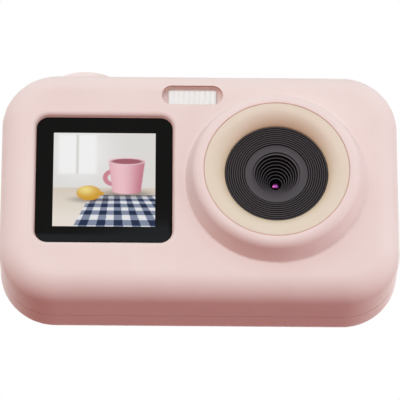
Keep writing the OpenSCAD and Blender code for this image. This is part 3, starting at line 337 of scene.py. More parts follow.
def rounded(corners, radius, steps=4):
    points = []
    for i, corner in enumerate(corners):
        before, after = corners[i - 1], corners[(i + 1) % len(corners)]
        here = Vector(corner)
        a, b = Vector(before) - here, Vector(after) - here
        reach = min(radius, NEXT_CORNER * a.length, NEXT_CORNER * b.length)
        start, end = here + a.normalized() * reach, here + b.normalized() * reach
        for k in range(steps + 1):
            t = k / steps
            points.append(start * (1 - t) ** 2 + here * 2 * t * (1 - t) + end * t ** 2)
    return points


def arc(middle, radius, first, last, steps):
    turn = [math.radians(first + (last - first) * k / steps) for k in range(steps + 1)]
    return [(middle[0] + radius * math.cos(t), middle[1] + radius * math.sin(t)) for t in turn]


# %% How a tree starts and ends
def started(name, inputs, output):
    tree = bpy.data.node_groups.new(name, "GeometryNodeTree")
    for label, kind in inputs.items():
        tree.interface.new_socket(label, in_out="INPUT", socket_type="NodeSocket" + kind)
    tree.interface.new_socket(output, in_out="OUTPUT", socket_type="NodeSocketGeometry")
    return tree, add(tree, "NodeGroupInput").outputs


def ended(tree, shape, finish, output):
    whole = add(tree, "GeometryNodeRealizeInstances", {"Geometry": shape}).outputs[0]
    coated = add(tree, "GeometryNodeSetMaterial", {"Geometry": whole, "Material": finish}).outputs[0]
    add(tree, "NodeGroupOutput", {output: coated})
    print(tree.name, "nodes:", len(tree.nodes))


# %% The lathe tree
WELD = 1e-6  # metres: points closer than this are one
lathe, given = started("lathe", {"Outline": "Geometry", "Segments": "Int", "Axis point": "Vector",
                                 "Axis": "Vector", "Finish": "Material"}, "Piece")
rows = add(lathe, "GeometryNodeAttributeDomainSize", {"Geometry": given["Outline"]}).outputs["Point Count"]
columns = add(lathe, "ShaderNodeMath", {0: given["Segments"], 1: 1.0}, operation="ADD").outputs[0]
grid = add(lathe, "GeometryNodeMeshGrid", {"Vertices X": columns, "Vertices Y": rows}).outputs["Mesh"]
number = add(lathe, "GeometryNodeInputIndex").outputs[0]
share = add(lathe, "ShaderNodeMath", {0: number, 1: rows}, operation="DIVIDE").outputs[0]
column = add(lathe, "ShaderNodeMath", {0: share}, operation="FLOOR").outputs[0]
row = add(lathe, "ShaderNodeMath", {0: number, 1: rows}, operation="MODULO").outputs[0]
part_turn = add(lathe, "ShaderNodeMath", {0: column, 1: given["Segments"]}, operation="DIVIDE").outputs[0]
angle = add(lathe, "ShaderNodeMath", {0: part_turn, 1: math.tau}, operation="MULTIPLY").outputs[0]
spot = add(lathe, "GeometryNodeInputPosition").outputs[0]
point = add(lathe, "GeometryNodeSampleIndex", {"Geometry": given["Outline"], "Value": spot, "Index": row},
            data_type="FLOAT_VECTOR", domain="POINT").outputs[0]
turned_to = add(lathe, "ShaderNodeVectorRotate",
                {"Vector": point, "Center": given["Axis point"], "Axis": given["Axis"], "Angle": angle},
                rotation_type="AXIS_ANGLE").outputs[0]
bent = add(lathe, "GeometryNodeSetPosition", {"Geometry": grid, "Position": turned_to}).outputs[0]
closed = add(lathe, "GeometryNodeMergeByDistance", {"Geometry": bent, "Distance": WELD}).outputs[0]
ended(lathe, closed, given["Finish"], "Piece")

# %% From a tree to a finished piece
TOUCHING = 1e-7  # metres


def plain_mesh(worker):
    bpy.context.view_layer.update()
    mesh = bpy.data.meshes.new_from_object(worker.evaluated_get(bpy.context.evaluated_depsgraph_get()))
    bpy.data.objects.remove(worker)
    return mesh


def finished(name, mesh, sharp=35):
    shape = bmesh.new()
    shape.from_mesh(mesh)
    bmesh.ops.remove_doubles(shape, verts=shape.verts, dist=TOUCHING)
    bmesh.ops.recalc_face_normals(shape, faces=shape.faces)
    shape.to_mesh(mesh)
    shape.free()
    mesh.shade_smooth()
    mesh.set_sharp_from_angle(angle=math.radians(sharp))
    mesh.name = name
    return placed(name, mesh)


def grown(name, seed, tree, values, sharp=35):
    worker = placed(name + "_seed", seed)
    nodes = worker.modifiers.new("nodes", "NODES")
    nodes.node_group = tree
    for socket in tree.interface.items_tree:
        if socket.name in values:
            nodes[socket.identifier] = values[socket.name]
    mesh = plain_mesh(worker)
    if mesh.materials[0] is None:
        mesh.materials.pop(index=0)
    return finished(name, mesh, sharp)


def turned(name, outline, axis_point, axis, finish, segments=128, sharp=35):
    side = Vector((1, 0, 0))
    seed = bpy.data.meshes.new(name + "_outline")
    seed.from_pydata([(axis_point + side * r + axis * h) * MM for r, h in outline], [], [])
    return grown(name, seed, lathe, {"Segments": segments, "Axis point": axis_point * MM, "Axis": axis,
                                     "Finish": finish}, sharp)


def worn_by(piece, body, slot, *stands_for):
    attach(piece, body)
    if stands_for:
        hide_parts(*stands_for)
    print(piece.name, "faces:", len(piece.data.polygons))


# %% [markdown]
# ## Lens dish
# Round the lens lies a wide cream dish, moulded apart from the case and pressed into the collar. Its
# lip curls over into the hole like the bell of a horn, which is why its upper inner edge falls into
# shade. A thin bead of rose silicone seals the joint and shows as a fine reddish line. Heights are
# measured out of the case's front face.

# %% Finishes of the dish and its bead
lens_low, lens_high = [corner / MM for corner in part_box("lens_ring")]
RIM = FRONT - lens_low.y
SHADE_FROM, SHADE_TO = 0.6, 2.6  # below the rim
# Cream plastic with painted shade: the colour turns a darker yellow down the curl, where it turns into the
# hole.
dish_cream = grained("cream_abs_painted_shade", "#D5C0AD", "#DAC7B5", 0.3, 0.12, (0.4, 0.5))
tree = dish_cream.node_tree
skin = tree.nodes["Principled BSDF"]
cream_tone = skin.inputs["Base Color"].links[0].from_socket
spot = add(tree, "ShaderNodeTexCoord")
deep = add(tree, "ShaderNodeSeparateXYZ", {"Vector": spot.outputs["Object"]})
shade_depth = add(tree, "ShaderNodeMapRange",
           {"Value": deep.outputs["Y"], "From Min": (FRONT - RIM + SHADE_FROM) * MM,
            "From Max": (FRONT - RIM + SHADE_TO) * MM})
# Painted shade: deeper down the curl the cream goes over to this darker yellow.
dish_painted_shade = add(tree, "ShaderNodeMix", {0: shade_depth.outputs[0], 6: cream_tone, 7: linear("#DABF9F")}, data_type="RGBA")
tree.links.new(dish_painted_shade.outputs[2], skin.inputs["Base Color"])
# Silicone bead, dosed into the joint and cured: a thin matt line, redder than the case.
rose_bead = grained("cured_silicone_rose", "#D6A398", "#DEAEA3", 0.3, 0.1, (0.5, 0.65))

# %% Lens dish and its bead
LENS = Vector(((lens_low.x + lens_high.x) / 2, FRONT, (lens_low.z + lens_high.z) / 2))
OUT = Vector((0, -1, 0))
DISH_R = (lens_high.x - lens_low.x) / 2
HOLE_R, SEAT_H, CURL, LIP, LIP_ROUND = 11.85, 1.6, 4.74, 0.6, 0.25
curl_x, curl_h = DISH_R - LIP, RIM - CURL
curl_end = 180 - math.degrees(math.acos((curl_x - HOLE_R) / CURL))
dish_outline = [(HOLE_R, SEAT_H), (DISH_R, SEAT_H)]
dish_outline += arc((DISH_R - LIP_ROUND, RIM - LIP_ROUND), LIP_ROUND, 0, 90, steps=5)
dish_outline += arc((curl_x, curl_h), CURL, 90, curl_end, steps=32)
dish = turned("lens_dish", dish_outline + dish_outline[:1], LENS, OUT, dish_cream, segments=192)
worn_by(dish, "case", "beige_plastic", "lens_ring")
BEAD_IN, BEAD_OUT, BEAD_DEEP, BEAD_SUNK = 0.01, 0.14, 1.2, 0.06
bead_outline = [(DISH_R + BEAD_IN, RIM - BEAD_DEEP), (DISH_R + BEAD_OUT, RIM - BEAD_DEEP),
                (DISH_R + BEAD_OUT, RIM - BEAD_SUNK), (DISH_R + BEAD_IN, RIM - BEAD_SUNK)]
dish_bead = turned("dish_bead", bead_outline + bead_outline[:1], LENS, OUT, rose_bead, segments=192)
worn_by(dish_bead, "case", "pink_plastic")
print("lens axis at x, z:", round(LENS.x, 2), round(LENS.z, 2), "rim height:", round(RIM, 2))

# %% [markdown]
# ## Black hood
# The hood is a light trap: nine fine grooves cut round its face, a plain land, then a stepped funnel
# down to the small aperture. All of it follows a rule, so the outline is written by two loops, one
# for the grooves and one for the steps, and the lathe does the rest. The grooves are drawn deeper
# than they are, because at their true depth they vanish in a small picture.

# %% Hood finishes
# Black polycarbonate, spark-eroded matt: a warm dark grey on the land and the step edges.
hood_black = grained("moulded_polycarbonate_spark_eroded", "#2D2226", "#36282D", 0.25, 0.2, (0.48, 0.52))
# The ridges between the grooves are cut after moulding, and the tool leaves them duller.
hood_cut = grained("machined_polycarbonate_dull", "#30282A", "#382F33", 0.25, 0.2, (0.55, 0.65),
                   **{"Specular IOR Level": 0.38})
# Painted shade: a near-black finish on the groove floors and the funnel's walls, where shade falls; it gives
# back hardly any light.
hood_painted_shade = grained("black_painted_shade", "#0C090A", "#110D0F", 0.25, 0.4, (0.85, 0.95),
                     **{"Specular IOR Level": 0.04})

# %% Outline of the hood
HOOD_R, FACE_DROP, LAND_DROP, EDGE_ROUND = 11.7, 2.67, 0.15, 0.05
FACE_H = RIM - FACE_DROP
LAND_H = FACE_H - LAND_DROP
GROOVES, GROOVE_PITCH, GROOVE_W, GROOVE_T, GROOVE_DRAFT = 9, 0.5, 0.2, 0.5, 0.03
hood_outline = [(HOOD_R, SEAT_H), (HOOD_R, FACE_H)]
for i in range(GROOVES):
    inner = HOOD_R - (i + 1) * GROOVE_PITCH
    outer = inner + GROOVE_W
    hood_outline += [(outer, FACE_H), (outer - GROOVE_DRAFT, FACE_H - GROOVE_T),
                     (inner + GROOVE_DRAFT, FACE_H - GROOVE_T), (inner, FACE_H)]
hood_outline[-1] = (inner, LAND_H)
STEPS, MOUTH_R, STEP_R, FIRST_T, FUNNEL_T = 8, 5.4, 0.5, 0.4, 5.45
STEP_T = FUNNEL_T / (STEPS - 1)
FIRST_LEAN, LEAN = 0.1, 0.31
lean, step_top = FIRST_LEAN, 0.0
for i in range(STEPS):
    step_r, step_floor = MOUTH_R - i * STEP_R, FIRST_T + i * STEP_T
    hood_outline += [(step_r, LAND_H - step_top), (step_r - lean, LAND_H - step_floor)]
    lean, step_top = LEAN, step_floor
# Behind, the hood steps out from the aperture to a cup, a shoulder and the flange that holds it.
APERTURE_R, CUP_R, SHOULDER_R, FLANGE_R = 1.4, 4.4, 6.8, 13.8
APERTURE_H, CUP_FLOOR_H, CUP_H, FLANGE_H = -3.0, -3.6, -1.4, 0.4
hood_outline += [(APERTURE_R, APERTURE_H), (APERTURE_R, CUP_FLOOR_H), (CUP_R, CUP_FLOOR_H), (CUP_R, CUP_H),
                 (SHOULDER_R, CUP_H), (SHOULDER_R, FLANGE_H), (FLANGE_R, FLANGE_H), (FLANGE_R, SEAT_H)]
print("corners of the hood's outline:", len(hood_outline))

# %% Black hood
soft = rounded(hood_outline, EDGE_ROUND, steps=2)
hood = turned("lens_hood_turned", soft + soft[:1], LENS, OUT, hood_black, segments=160, sharp=50)
hood.data.materials.append(hood_painted_shade)
hood.data.materials.append(hood_cut)
# Faces in the grooves and on the funnel's walls take the painted shade, and the ridges the duller finish.
SKIN, STEEP = 0.06, 0.7
shade_painted = 0
for face in hood.data.polygons:
    away = face.center / MM - LENS
    out, r = -away.y, math.hypot(away.x, away.z)
    in_groove = r > inner and out < FACE_H - SKIN
    on_wall = r < MOUTH_R and out < LAND_H - SKIN and abs(face.normal.y) < STEEP
    if in_groove or on_wall:
        face.material_index = 1
        shade_painted += 1
    elif r > inner:
        face.material_index = 2
print("flocked faces:", shade_painted)
worn_by(hood, "case", "black_plastic", "lens_hood")

# %% [markdown]
# ## Front lens
# At the bottom of the funnel sits a small domed lens with a purple anti-reflection coating. The
# coating is what one sees: a dark glass whose mirror image of the softbox is tinted. A dome turned
# on the lathe catches that glint only on its lower half, as in the photograph. Its crown stands a
# little before the solid's, where the aperture shows more of it.

# %% Coated glass
HAZE = 0.8  # width of the patches in the coat
# Optical glass, ground, polished and coated in vacuum: nearly black, with a violet mirror image.
coated_glass = bpy.data.materials.new("magenta_coated_optical_glass")
tree = blank(coated_glass)
place = add(tree, "ShaderNodeTexCoord").outputs["Object"]
haze = add(tree, "ShaderNodeTexNoise", {"Vector": place, "Scale": 1 / (HAZE * MM), "Detail": 1.0})
ink = add(tree, "ShaderNodeMix", {0: haze.outputs["Fac"], 6: linear("#080307"), 7: linear("#100510")},
          data_type="RGBA")
gloss = add(tree, "ShaderNodeMapRange", {"Value": haze.outputs["Fac"], "To Min": 0.03, "To Max": 0.07})
body = add(tree, "ShaderNodeBsdfPrincipled",
           {"Base Color": ink.outputs[2], "Roughness": gloss.outputs[0], "IOR": 2.5,
            "Specular Tint": linear("#F06EDA")})
add(tree, "ShaderNodeOutputMaterial", {"Surface": body.outputs[0]})

# %% Front lens
NUDGE, BULGE = 0.35, 2.2
DOME_END = 40  # degrees
LENS_R, LENS_EDGE, LENS_FOOT_R, LENS_T = 2.75, 1.2, 3.25, 1.5
lens_front_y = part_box("front_lens")[0].y / MM
crown = FRONT - lens_front_y + NUDGE
dome_outline = arc((0, crown - BULGE), BULGE, 90, DOME_END, steps=24)
dome_outline += [(LENS_R, dome_outline[-1][1]), (LENS_R, crown - LENS_EDGE),
                 (LENS_FOOT_R, crown - LENS_EDGE), (LENS_FOOT_R, crown - LENS_T), (0, crown - LENS_T)]
front_lens = turned("front_lens_dome", dome_outline, LENS, OUT, coated_glass, segments=96)
worn_by(front_lens, "case", "lens_glass", "front_lens")

# %% [markdown]
# ## Buttons
# The shutter is a broad round cap on the top, and six keys stand out of the back. Each is turned from
# its own outline and rides on its own body, so that a press moves it. The keys carry the usual plain
# marks, set a little below the rim of a very shallow dish so that they don't wear off.

# %% Shutter button
s_low, s_high = [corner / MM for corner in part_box("shutter_button")]
shutter_at = Vector(((s_low.x + s_high.x) / 2, (s_low.y + s_high.y) / 2, 0))
top = s_high.z
flange_r = (s_high.x - s_low.x) / 2
CAP_LEDGE, CAP_ROUND, FLANGE_TOP, FLANGE_T, STEM_R = 0.7, 0.5, 53.6, 1.0, 1.6
cap_r = flange_r - CAP_LEDGE
cap = [(0, top)] + arc((cap_r - CAP_ROUND, top - CAP_ROUND), CAP_ROUND, 90, 0, steps=10)
shutter_outline = cap + [(cap_r, FLANGE_TOP), (flange_r, FLANGE_TOP), (flange_r, FLANGE_TOP - FLANGE_T),
                         (STEM_R, FLANGE_TOP - FLANGE_T), (STEM_R, s_low.z), (0, s_low.z)]
shutter = turned("shutter_cap", shutter_outline, shutter_at, Vector((0, 0, 1)), key_abs, segments=96)
worn_by(shutter, "shutter", "key_plastic", "shutter_button")

# %% Rear keys
BACK = Vector((0, 1, 0))
KEY_LEDGE, KEY_ROUND, KEY_T, KEY_FOOT, STUD_R = 0.6, 0.4, 2.8, 3.4, 1.0
HOLLOW, HALFWAY, BRIM, BRIM_DROP = 0.12, 0.1, 0.75, 0.02
key_ends = {}
for name in ("power", "up", "down", "left", "right", "ok"):
    low, high = [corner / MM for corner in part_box(name + "_button")]
    axis_point = Vector(((low.x + high.x) / 2, 0, (low.z + high.z) / 2))
    flange = (high.x - low.x) / 2
    r = flange - KEY_LEDGE
    end = high.y
    key_ends[name] = (axis_point, end)
    dished = [(0, end - HOLLOW), (0.5 * r, end - HALFWAY), (r - BRIM, end - BRIM_DROP)]
    rim = arc((r - KEY_ROUND, end - KEY_ROUND), KEY_ROUND, 90, 0, steps=6)
    foot = [(r, end - KEY_T), (flange, end - KEY_T), (flange, end - KEY_FOOT), (STUD_R, end - KEY_FOOT),
            (STUD_R, low.y), (0, low.y)]
    key = turned(name + "_key_cap", dished + rim + foot, axis_point, BACK, key_abs, segments=72)
    worn_by(key, name + "_key", "key_plastic", name + "_button")

# %% Key marks
MARK_SUNK, MARK_T = 0.03, 0.12
# Pad printing ink, cured: a soft warm grey that stands out from the blush.
mark_ink = grained("pad_printed_warm_grey", "#8A7673", "#957F7C", 0.3, 0.05, (0.5, 0.6))


def plate(shape, corners, y, thick):
    front = [shape.verts.new(Vector((x, y, z)) * MM) for x, z in corners]
    back = [shape.verts.new(Vector((x, y - thick, z)) * MM) for x, z in corners]
    shape.faces.new(front)
    shape.faces.new(back[::-1])
    for i in range(len(corners)):
        shape.faces.new((front[i], back[i], back[i - 1], front[i - 1]))


# Each mark is drawn about the middle of its key. Seen from behind, right is -X, so the left arrow
# points to +X.
arrow = rounded([(-1.0, -0.6), (1.0, -0.6), (0.0, 1.0)], 0.22)
broken_ring = arc((0, 0), 1.15, 125, 415, steps=40) + arc((0, 0), 0.82, 415, 125, steps=40)
stroke = rounded([(-0.17, 0.25), (0.17, 0.25), (0.17, 1.35), (-0.17, 1.35)], 0.1)
dot = arc((0, 0), 1.5, 0, 354, steps=58)
marks = {"up": (0, [arrow]), "left": (-90, [arrow]), "down": (180, [arrow]), "right": (90, [arrow]),
         "power": (0, [broken_ring, stroke]), "ok": (0, [dot])}
for name, (turn, shapes) in marks.items():
    axis_point, end = key_ends[name]
    c, s = math.cos(math.radians(turn)), math.sin(math.radians(turn))
    sheet = bmesh.new()
    for corners in shapes:
        spots = [(axis_point.x + x * c - z * s, axis_point.z + x * s + z * c) for x, z in corners]
        plate(sheet, spots, end - MARK_SUNK, MARK_T)
    mark = finished(name + "_mark", kept(name + "_mark", sheet, mark_ink))
    worn_by(mark, name + "_key", "key_plastic")

# %% [markdown]
# ## Cover glasses
# Both screens lie behind a thin sheet of cover glass with ground edges, printed black on its back.
# The front one has an anti-reflection coat, so it stays black although a softbox hangs before it.
# Each is a stack of rounded outlines, the last few drawn in to make the ground edge. The front one
# is bedded in the same rose bead as the dish.

# %% Printed glass
CLOUD = 12.0  # width of the patches in which the print's tone drifts


def printed(name, dark, light, level):
    finish = bpy.data.materials.new(name)
    tree = blank(finish)
    place = add(tree, "ShaderNodeTexCoord").outputs["Object"]
    cloud = add(tree, "ShaderNodeTexNoise", {"Vector": place, "Scale": 1 / (CLOUD * MM), "Detail": 2.0})
    ink = add(tree, "ShaderNodeMix", {0: cloud.outputs["Fac"], 6: linear(dark), 7: linear(light)},
              data_type="RGBA")
    gloss = add(tree, "ShaderNodeMapRange", {"Value": cloud.outputs["Fac"], "To Min": 0.06, "To Max": 0.12})
    body = add(tree, "ShaderNodeBsdfPrincipled",
               {"Base Color": ink.outputs[2], "Roughness": gloss.outputs[0], "IOR": 1.5,
                "Specular IOR Level": level})
    add(tree, "ShaderNodeOutputMaterial", {"Surface": body.outputs[0]})
    return finish


# Coated float glass with a black screen print behind it: deep black, hardly any reflection.
front_print = printed("coated_glass_black_print", "#0F0D0C", "#12100F", 0.05)
# The same print under plain glass: black with a clear reflection.
rear_print = printed("float_glass_black_print", "#0E0E0F", "#131314", 0.5)

# %% A glass and a bead
GRIND = 0.25  # radius of a ground edge


def rounded_square(half_w, half_h, corner, steps=10):
    points = []
    for k, (sx, sz) in enumerate(((1, 1), (-1, 1), (-1, -1), (1, -1))):
        points += arc((sx * (half_w - corner), sz * (half_h - corner)), corner, 90 * k, 90 * k + 90, steps)
    return points


def ground_glass(name, node, corner, facing, finish):
    low, high = [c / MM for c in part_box(node)]
    x, z = (low.x + high.x) / 2, (low.z + high.z) / 2
    half_w, half_h = (high.x - low.x) / 2, (high.z - low.z) / 2
    front, back = (low.y, high.y) if facing < 0 else (high.y, low.y)
    edge = arc((GRIND, 0), GRIND, 180, 90, steps=5)
    layers = [(back, 0.0)] + [(front - facing * (GRIND - h), d) for d, h in edge]
    sheet = bmesh.new()
    rings = []
    for y, inset in layers:
        loop = rounded_square(half_w - inset, half_h - inset, corner - inset)
        rings.append([sheet.verts.new(Vector((x + px, y, z + pz)) * MM) for px, pz in loop])
    for lower, upper in zip(rings, rings[1:]):
        for i in range(len(lower)):
            sheet.faces.new((lower[i - 1], lower[i], upper[i], upper[i - 1]))
    sheet.faces.new(rings[0])
    sheet.faces.new(rings[-1])
    worn_by(finished(name, kept(name, sheet, finish), sharp=50), "case", "screen_glass", node)
    return {"middle": (x, z), "half": (half_w, half_h), "face": front}


def bead(name, middle, inner, width, front, back, finish):
    ring = bmesh.new()
    loops = []
    for grow, y in ((BEAD_IN, front), (width, front), (width, back), (BEAD_IN, back)):
        loop = rounded_square(inner[0] + grow, inner[1] + grow, inner[2] + grow)
        loops.append([ring.verts.new(Vector((middle[0] + px, y, middle[1] + pz)) * MM) for px, pz in loop])
    for k in range(4):
        for i in range(len(loops[0])):
            ring.faces.new((loops[k - 1][i - 1], loops[k - 1][i], loops[k][i], loops[k][i - 1]))
    worn_by(finished(name, kept(name, ring, finish)), "case", "pink_plastic")


# %% The two glasses
FRONT_CORNER, REAR_CORNER, GLASS_BEAD_TOP, GLASS_BEAD_FOOT = 2.9, 3.0, 0.12, 0.6
front_glass = ground_glass("front_cover_glass", "front_glass", FRONT_CORNER, -1, front_print)
bead("front_glass_bead", front_glass["middle"], (*front_glass["half"], FRONT_CORNER), BEAD_OUT,
     front_glass["face"] + GLASS_BEAD_TOP, front_glass["face"] + GLASS_BEAD_FOOT, rose_bead)
rear_glass = ground_glass("rear_cover_glass", "rear_glass", REAR_CORNER, 1, rear_print)

# %% [markdown]
# ## The two pictures
# The front display is on, so it shows something: a plain still life that is made up here, a cup, a
# lemon and a checked cloth on a pale table. It is painted on a fine grid as a colour attribute by a
# formula, one thing laid over the last with soft edges. The rear display is off, a dark pane with a
# painted reflection that makes it a little lighter towards the top. Each lies on its glass as a thin
# closed film, two hundredths of a millimetre proud.

# %% Painting by formula
# In the picture, u runs from 0 to 1 across and v from 0 to 1 upward, and places and sizes are in these.
def cover(edge, blur=0.012):
    t = min(max(edge / blur + 0.5, 0.0), 1.0)
    return t * t * (3 - 2 * t)


def laid(below, hex_colour, share):
    return tuple(b + (a - b) * share for b, a in zip(below, linear(hex_colour)))


def oval(u, v, middle, size):
    return min(size) * (1.0 - math.hypot((u - middle[0]) / size[0], (v - middle[1]) / size[1]))


def wall_and_table(u, v):
    glow = math.exp(-((u - 0.25) ** 2 + (v - 0.8) ** 2) / 0.09)
    colour = laid(linear("#DEDAD6"), "#FBFAF9", 0.3 + 0.7 * glow)
    pane = min(u - 0.05, 0.42 - u, v - 0.56, 0.98 - v)
    colour = laid(colour, "#FFFFFF", 0.9 * cover(pane, 0.05))
    colour = laid(colour, "#D8D4CF", 0.8 * cover(min(pane, 0.012 - abs(u - 0.235)), 0.02))
    table = laid(linear("#D8C9B8"), "#F2E9DE", min(max(1.2 - 2.2 * v, 0.0), 1.0))
    share = cover(0.41 - v, 0.02)
    return tuple(c + (t - c) * share for c, t in zip(colour, table))


# %% The things on the table
CUP_X, CUP_FOOT, CUP_TOP = 0.72, 0.345, 0.70


def checked_cloth(u, v, colour):
    far = 1.0 / (0.8 - min(v, 0.5))
    warp, weft = ((u - 0.6) * far * 9.0) % 2.0 < 1.0, (far * 9.5) % 2.0 < 1.0
    check = "#232F4C" if warp and weft else "#8790A8" if warp or weft else "#F0F0F3"
    return laid(colour, check, cover(min(u - 0.2 - 0.5 * v, 0.335 - v)))


def soft_shadows(u, v, colour):
    for middle, size in (((CUP_X, CUP_FOOT), (0.23, 0.045)), ((0.37, 0.285), (0.17, 0.032))):
        colour = laid(colour, "#5C4F4A", 0.6 * cover(oval(u, v, middle, size), 0.05))
    return colour


def cup(u, v, colour):
    handle = 0.024 - abs(math.hypot(u - 0.585, (v - 0.52) * 1.1) - 0.075)
    colour = laid(colour, "#D58A98", cover(handle))
    half_w = 0.135 + 0.045 * (v - 0.35) / 0.37
    across = (u - CUP_X) / half_w
    wall = min(half_w - abs(u - CUP_X), v - CUP_FOOT - 0.02 * across ** 2, CUP_TOP - v)
    rounding = 0.5 + 0.5 * math.cos((min(max(across, -1.0), 1.0) + 0.4) * 1.9)
    colour = laid(colour, "#C8778A", cover(wall))
    colour = laid(colour, "#F8C9D1", cover(wall) * rounding)
    colour = laid(colour, "#F9DDE1", cover(oval(u, v, (CUP_X, CUP_TOP), (0.182, 0.042))))
    return laid(colour, "#A8636F", cover(oval(u, v, (CUP_X, 0.696), (0.158, 0.030))))


def lemon(u, v, colour):
    fruit = max(oval(u, v, (0.35, 0.355), (0.12, 0.08)), oval(u, v, (0.472, 0.35), (0.03, 0.02)))
    lit = math.exp(-((u - 0.32) ** 2 / 0.008 + (v - 0.39) ** 2 / 0.003))
    colour = laid(colour, "#D79F2B", cover(fruit))
    return laid(colour, "#FBE48E", cover(fruit) * lit)


def still_life(u, v):
    colour = wall_and_table(u, v)
    for thing in (checked_cloth, soft_shadows, cup, lemon):
        colour = thing(u, v, colour)
    return colour


# The rear pane: dark, and lighter towards the top and the right, a painted reflection.
def dark_pane_painted_reflection(u, v):
    return laid(linear("#0B0D10"), "#1A1E24", min(max(0.7 * v + 0.2 * u, 0.0), 1.0))


# %% Finishes of the films
# A display cell under its polariser: the cell itself is black, and the picture is only its glow.
lit_cell = bpy.data.materials.new("display_cell_lit")
tree = blank(lit_cell)
shown = add(tree, "ShaderNodeAttribute", attribute_name="picture").outputs["Color"]
skin = add(tree, "ShaderNodeBsdfPrincipled",
           {"Base Color": linear("#060607"), "Roughness": 0.2, "Specular IOR Level": 0.08,
            "Emission Color": shown, "Emission Strength": 0.86})
add(tree, "ShaderNodeOutputMaterial", {"Surface": skin.outputs[0]})
# The same cell when it is off: dark film with a clear shine.
dark_cell = bpy.data.materials.new("display_cell_off")
tree = blank(dark_cell)
shown = add(tree, "ShaderNodeAttribute", attribute_name="picture").outputs["Color"]
skin = add(tree, "ShaderNodeBsdfPrincipled", {"Base Color": shown, "Roughness": 0.1, "IOR": 1.5})
add(tree, "ShaderNodeOutputMaterial", {"Surface": skin.outputs[0]})

# %% The two films
FILM_T, FILM_PROUD = 0.03, 0.02


def film(name, middle, size, y, facing, paint, finish, count):
    wide, tall = count
    row = wide + 1
    spots = [(i / wide, j / tall) for j in range(tall + 1) for i in range(row)]
    corners = [j * row + i for j in range(tall) for i in range(wide)]
    quads = [(k, k + 1, k + row + 1, k + row) for k in corners]
    # The rim runs along the bottom, up the right side, back along the top and down the left side.
    rim = list(range(wide)) + [j * row + wide for j in range(tall)]
    rim += [tall * row + i for i in range(wide, 0, -1)] + [j * row for j in range(tall, 0, -1)]
    foot = [len(spots) + k for k in range(len(rim))]
    quads += [(rim[k], rim[k - 1], foot[k - 1], foot[k]) for k in range(len(rim))]
    faces = quads + [foot[::-1]]
    depths = [y] * len(spots) + [y - facing * FILM_T] * len(rim)
    spots += [spots[k] for k in rim]
    points = [Vector((middle[0] + (u - 0.5) * size[0], depth, middle[1] + (v - 0.5) * size[1])) * MM
              for (u, v), depth in zip(spots, depths)]
    mesh = bpy.data.meshes.new(name)
    mesh.from_pydata(points, [], faces if facing < 0 else [face[::-1] for face in faces])
    picture = mesh.color_attributes.new("picture", "FLOAT_COLOR", "POINT")
    picture.data.foreach_set("color", [part for u, v in spots for part in paint(u, v)])
    mesh.materials.append(finish)
    worn_by(placed(name, mesh), "case", "display_cell")


FRONT_SHIFT, FRONT_SIZE, REAR_SIZE = 0.05, (23.4, 23.5), (42.0, 32.0)
FRONT_GRID, REAR_GRID = (150, 150), (24, 18)
front_x, front_z = front_glass["middle"]
film("front_picture", (front_x + FRONT_SHIFT, front_z - FRONT_SHIFT), FRONT_SIZE,
     front_glass["face"] - FILM_PROUD, -1, still_life, lit_cell, FRONT_GRID)
film("rear_picture", rear_glass["middle"], REAR_SIZE, rear_glass["face"] + FILM_PROUD, 1, dark_pane_painted_reflection,
     dark_cell, REAR_GRID)

# %% [markdown]
# ## Flash window
# The flash is a milky bar with nine shallow upright flutes that spread the light. One flute is a
# small bowed strip with a closed back, and a Geometry Nodes row repeats it along the bar. The bar
# behind it is an ordinary stepped block. It lies in a deep stadium pocket with a lining paler than
# the case, painted light, and a fine dark rose line of painted shade runs round the pocket's mouth.

# %% A row of flutes
row_tree, given = started("row_of_flutes", {"Flute": "Geometry", "Count": "Int", "Start": "Vector",
                                            "Pitch": "Vector", "Finish": "Material"}, "Row")
line = add(row_tree, "GeometryNodeMeshLine",
           {"Count": given["Count"], "Start Location": given["Start"], "Offset": given["Pitch"]}).outputs[0]
copies = add(row_tree, "GeometryNodeInstanceOnPoints", {"Points": line, "Instance": given["Flute"]})
ended(row_tree, copies.outputs[0], given["Finish"], "Row")

# %% The flutes
low, high = [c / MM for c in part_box("flash_diffuser")]
flash_x, flash_z = (low.x + high.x) / 2, (low.z + high.z) / 2
BAR_W, BAR_MARGIN, FLUTES, RISE, PARTING = 11.0, 1.2, 9, 0.2, 0.02
bar_h = high.z - low.z - BAR_MARGIN
pitch = BAR_W / FLUTES
strip = pitch - PARTING
bow_r = (strip ** 2 / 4 + RISE ** 2) / (2 * RISE)
spread = math.degrees(math.asin(strip / 2 / bow_r))
bow = arc((0, low.y + bow_r), bow_r, 270 - spread, 270 + spread, steps=12)
flute = bmesh.new()
rings = [[flute.verts.new(Vector((px, py, z)) * MM) for px, py in bow] for z in (-bar_h / 2, bar_h / 2)]
for i in range(len(bow) - 1):
    flute.faces.new((rings[0][i], rings[0][i + 1], rings[1][i + 1], rings[1][i]))
for ring in rings:
    flute.faces.new(ring)
flute.faces.new((rings[0][-1], rings[0][0], rings[1][0], rings[1][-1]))
flutes = grown("flash_flutes", kept("one_flute", flute), row_tree,
               {"Count": FLUTES, "Start": Vector((flash_x - BAR_W / 2 + pitch / 2, 0, flash_z)) * MM,
                "Pitch": Vector((pitch, 0, 0)) * MM, "Finish": milky_pc}, sharp=50)
worn_by(flutes, "case", "diffuser_plastic", "flash_diffuser")

